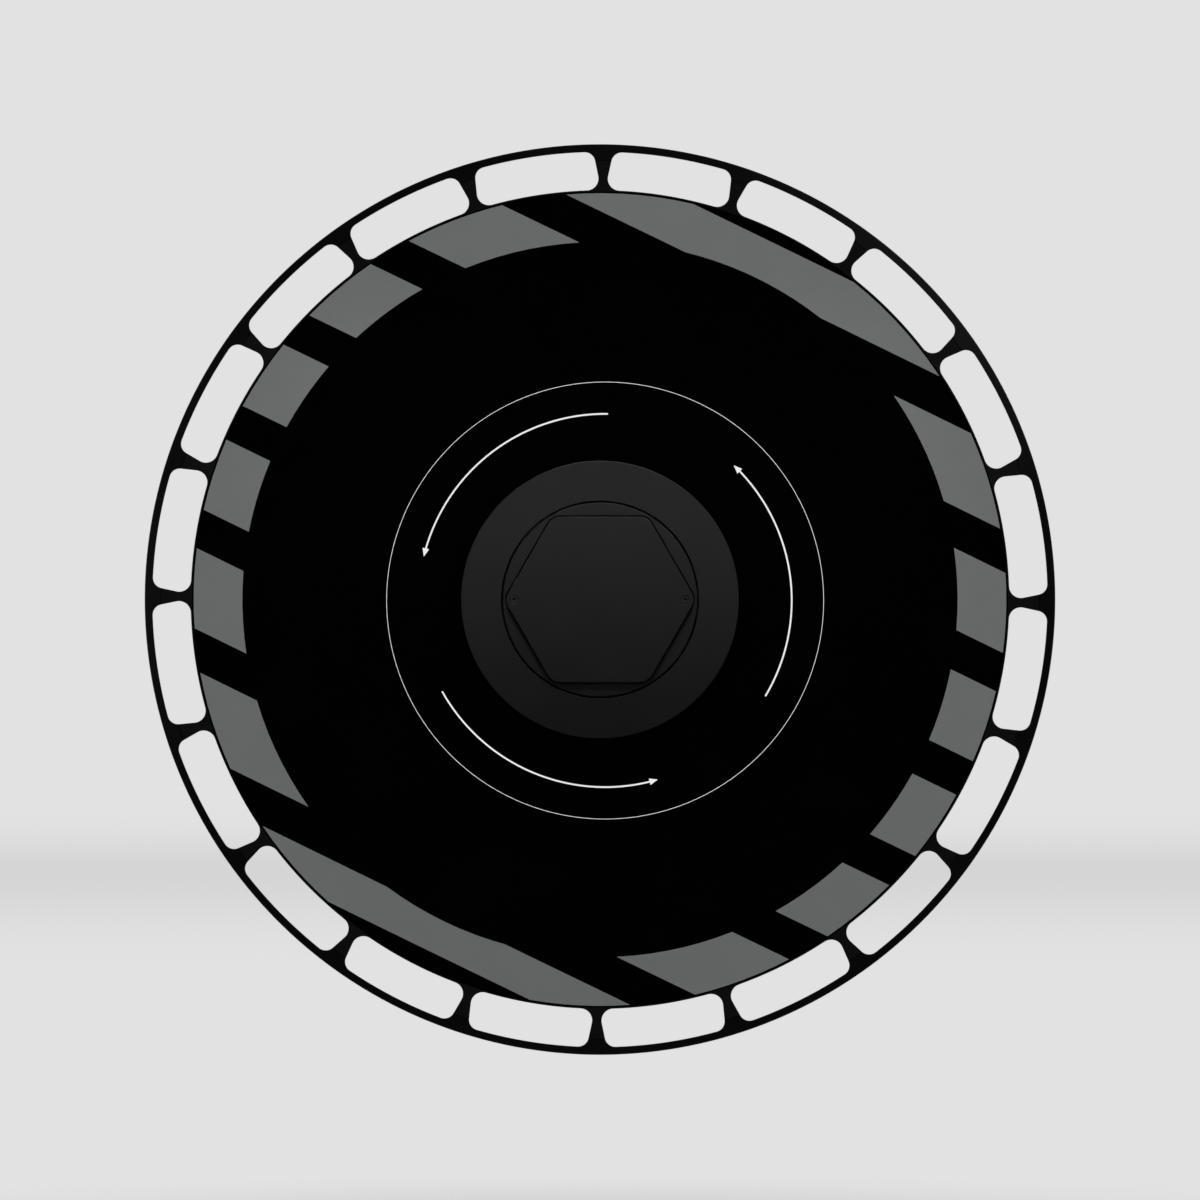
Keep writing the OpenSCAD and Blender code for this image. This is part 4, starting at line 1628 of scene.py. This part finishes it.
@dataclass(frozen=True)
class Lamp:
    """One soft lamp.

    Attributes:
        name: The lamp's name.
        place: Where it hangs.
        width: Its width.
        power: Its power in watts.
        height: Its height, or 0 if it is square.
        aim: The point that it shines at.
        spread: The angle that its light fills. A narrow lamp only puts a sheen on metal.
    """

    name: str
    place: Triple
    width: float
    power: float
    height: float = 0.0
    aim: Triple = (0.0, 0.0, 0.0)
    spread: float = math.pi

    def hang(self) -> None:
        """Make the lamp."""
        data = bpy.data.lights.new(self.name, "AREA")
        data.shape = "RECTANGLE"
        data.size = self.width
        data.size_y = self.height or self.width
        data.energy = self.power
        data.spread = self.spread
        lamp = bpy.data.objects.new(self.name, data)
        lamp.location = self.place
        lamp.rotation_mode = "QUATERNION"
        lamp.rotation_quaternion = (Vector(self.aim) - Vector(self.place)).to_track_quat("-Z", "Y")
        lamp.visible_diffuse = self.spread == math.pi
        bpy.context.scene.collection.objects.link(lamp)


@dataclass
class Studio:
    """Camera, world, floor and lamps: a plain pale studio.

    Attributes:
        lens: The camera's focal length in millimetres.
        sensor: The camera's sensor width in millimetres.
        distance: Distance from the camera to the slotted ring's front.
        aim: Where the camera stands to the side and up, so that the disc is centred as in the photograph.
        clip: Nearest and farthest distance that the camera sees.
        pale: Brightness of the background.
        world_level: Brightness of the world as light on the object.
        floor_drop: How far the floor lies below the wheel's axis.
        floor_reach: Radius of the floor.
        floor_flats: Flats round the floor.
        floor_albedo: How much light the floor gives back.
        contact: Distance within which the object's painted shadow darkens the floor's glow.
        contact_samples: Rays that look for it.
        band_sight: Distance from the camera at which the floor's painted shade band is darkest.
        band_depth: How much darker it is there.
        band_near: Share of that distance over which it fades towards the camera.
        band_far: Share of that distance over which it fades away from the camera.
        flag_inner: Angle off the disc's axis within which nothing bright is mirrored.
        flag_outer: Angle off the disc's axis from which the world is mirrored in full.
        lamps: Key at the upper right, fill at the left, one below, two behind and the hub's sheen.
    """

    lens: float = 250.0
    sensor: float = 36.0
    distance: float = 4.385
    aim: tuple[float, float] = (0.00001, -0.00024)
    clip: tuple[float, float] = (0.1, 200.0)
    pale: float = 0.7605
    world_level: float = 1.16
    floor_drop: float = 0.33
    floor_reach: float = 60.0
    floor_flats: int = 96
    floor_albedo: float = 0.55
    contact: float = 0.4
    contact_samples: int = 8
    band_sight: float = 10.18
    band_depth: float = 0.126
    band_near: float = 0.193
    band_far: float = 0.117
    flag_inner: float = math.radians(68)
    flag_outer: float = math.radians(84)
    lamps: tuple[Lamp, ...] = (
        Lamp("key", (1.45, -0.95, 1.30), 1.3, 5.0),
        Lamp("fill", (-1.9, -0.8, -0.3), 1.3, 5.0),
        Lamp("low", (0.7, -1.0, -1.7), 1.2, 4.0),
        Lamp("rear_right", (1.4, 1.7, 1.1), 1.0, 11.0),
        Lamp("rear_left", (-1.5, 1.3, 0.7), 1.2, 7.0),
        Lamp("hub_sheen", (0.0, -0.80, 0.90), 0.34, 0.149, height=0.01, aim=(0.0, -0.045, 0.055),
             spread=math.radians(9)),
    )

    def build(self) -> None:
        """Make the whole studio."""
        bpy.context.scene.view_settings.view_transform = "Standard"
        self.camera()
        self.world()
        self.floor()
        for lamp in self.lamps:
            lamp.hang()

    def camera(self) -> None:
        """Make the camera, level with the wheel's axis and looking along +Y."""
        data = bpy.data.cameras.new("camera")
        data.lens = self.lens
        data.sensor_width = self.sensor
        data.clip_start, data.clip_end = self.clip
        camera = bpy.data.objects.new("camera", data)
        face = outs("aero_disc")[1]
        camera.location = (self.aim[0], -face - self.distance, self.aim[1])
        camera.rotation_euler = (math.pi / 2, 0.0, 0.0)
        bpy.context.scene.collection.objects.link(camera)
        bpy.context.scene.camera = camera

    def seen(self, graph: Graph) -> tuple[Signal, Signal]:
        """Tell what looks at a surface.

        Args:
            graph: The surface's graph.

        Returns:
            1 where the camera sees it, also through glass, and 1 where a glossy surface mirrors it.
        """
        path = graph.node("ShaderNodeLightPath", {}, {}).outputs
        direct = Signal(graph, path["Is Camera Ray"]) + Signal(graph, path["Is Transmission Ray"])
        return direct.capped(1.0), Signal(graph, path["Is Glossy Ray"])

    def unflagged(self, frontal: Signal) -> Signal:
        """Return 0 behind the dark flag and 1 clear of it, from the cosine of the angle off the front."""
        return 1 - frontal.eased(math.cos(self.flag_outer), math.cos(self.flag_inner))

    def world(self) -> None:
        """Make the pale world, with a dark flag in front of the disc that only reflections show."""
        world = bpy.data.worlds.new("studio")
        world.use_nodes = True
        world.cycles.sampling_method = "NONE"
        bpy.context.scene.world = world
        graph = Graph(world.node_tree)
        direct, mirrored = self.seen(graph)
        towards = graph.node("ShaderNodeTexCoord", {}, {}).outputs["Generated"]
        clear = self.unflagged(-VectorSignal(graph, towards).parts()[1])
        lit = 1 - (direct + mirrored).capped(1.0)
        strength = direct * self.pale + mirrored * clear * self.pale + lit * self.world_level
        made = graph.node("ShaderNodeBackground", {}, {"Color": WHITE, "Strength": strength})
        graph.surface(made.outputs[0], "ShaderNodeOutputWorld")

    def band(self, sight: Signal) -> Signal:
        """Return the strength of the painted shade band in the floor's glow at a distance from the camera.

        Args:
            sight: The distance.

        Returns:
            1 in the middle of the band, fading to 0 on both sides.
        """
        off = self.band_sight / sight - 1
        width = self.band_far + off.over(0.0) * (self.band_near - self.band_far)
        return (-(off * off / (width * width))).exp()

    def floor_paint(self, graph: Graph, direct: Signal, mirrored: Signal) -> bpy.types.Node:
        """Build the floor that is seen or mirrored, which glows evenly, with a painted shadow under the
        object, a painted shade band and the dark flag in its reflections.

        Args:
            graph: The floor's graph.
            direct: 1 where the camera sees the floor.
            mirrored: 1 where a glossy surface mirrors it.

        Returns:
            The glow's node.
        """
        x, y, _ = graph.place().parts()
        reach = (x * x + y * y).root()
        # Painted shadow: ambient occlusion darkens the floor's glow under the object.
        shade = graph.node("ShaderNodeAmbientOcclusion", {"samples": self.contact_samples},
                           {"Distance": self.contact})
        clear = self.unflagged(-y / (reach * reach + self.floor_drop ** 2).root())
        # Painted shade: a darker band in the floor's glow, by distance from the camera.
        pale = (1 - self.band(reach + self.distance) * self.band_depth) * self.pale
        glow = pale * Signal(graph, shade.outputs["AO"]) * (direct + mirrored * clear).capped(1.0)
        return graph.node("ShaderNodeEmission", {}, {"Color": WHITE, "Strength": glow})

    def floor(self) -> None:
        """Make the wide pale floor, which can't be seen from below."""
        shape = bmesh.new()
        bmesh.ops.create_circle(shape, cap_ends=True, segments=self.floor_flats, radius=self.floor_reach)
        bmesh.ops.translate(shape, vec=(0.0, 0.0, -self.floor_drop), verts=shape.verts)
        floor = new_piece("floor", shape)
        material = bpy.data.materials.new("studio_floor")
        material.use_nodes = True
        graph = Graph(material.node_tree)
        direct, mirrored = self.seen(graph)
        painted = self.floor_paint(graph, direct, mirrored)
        matt = graph.node("ShaderNodeBsdfDiffuse", {}, {"Color": (self.floor_albedo,) * 3})
        hole = graph.node("ShaderNodeBsdfTransparent", {}, {})
        below = graph.node("ShaderNodeNewGeometry", {}, {}).outputs["Backfacing"]
        above = graph.mix((direct + mirrored).capped(1.0), matt.outputs[0], painted.outputs[0])
        graph.surface(graph.mix(below, above, hole.outputs[0]))
        floor.data.materials.append(material)


def main() -> None:
    """Build the studio and the wheel cover, and report each piece."""
    logging.basicConfig(level=logging.INFO, format="%(name)s: %(message)s")
    Studio().build()
    for assembly in (Disc(), HubFront(), HubRear(), Lock()):
        for piece in assembly.build():
            LOG.info("%s: %s, %d faces", type(assembly).__name__, piece.name, len(piece.data.polygons))


if __name__ == "__main__":
    main()
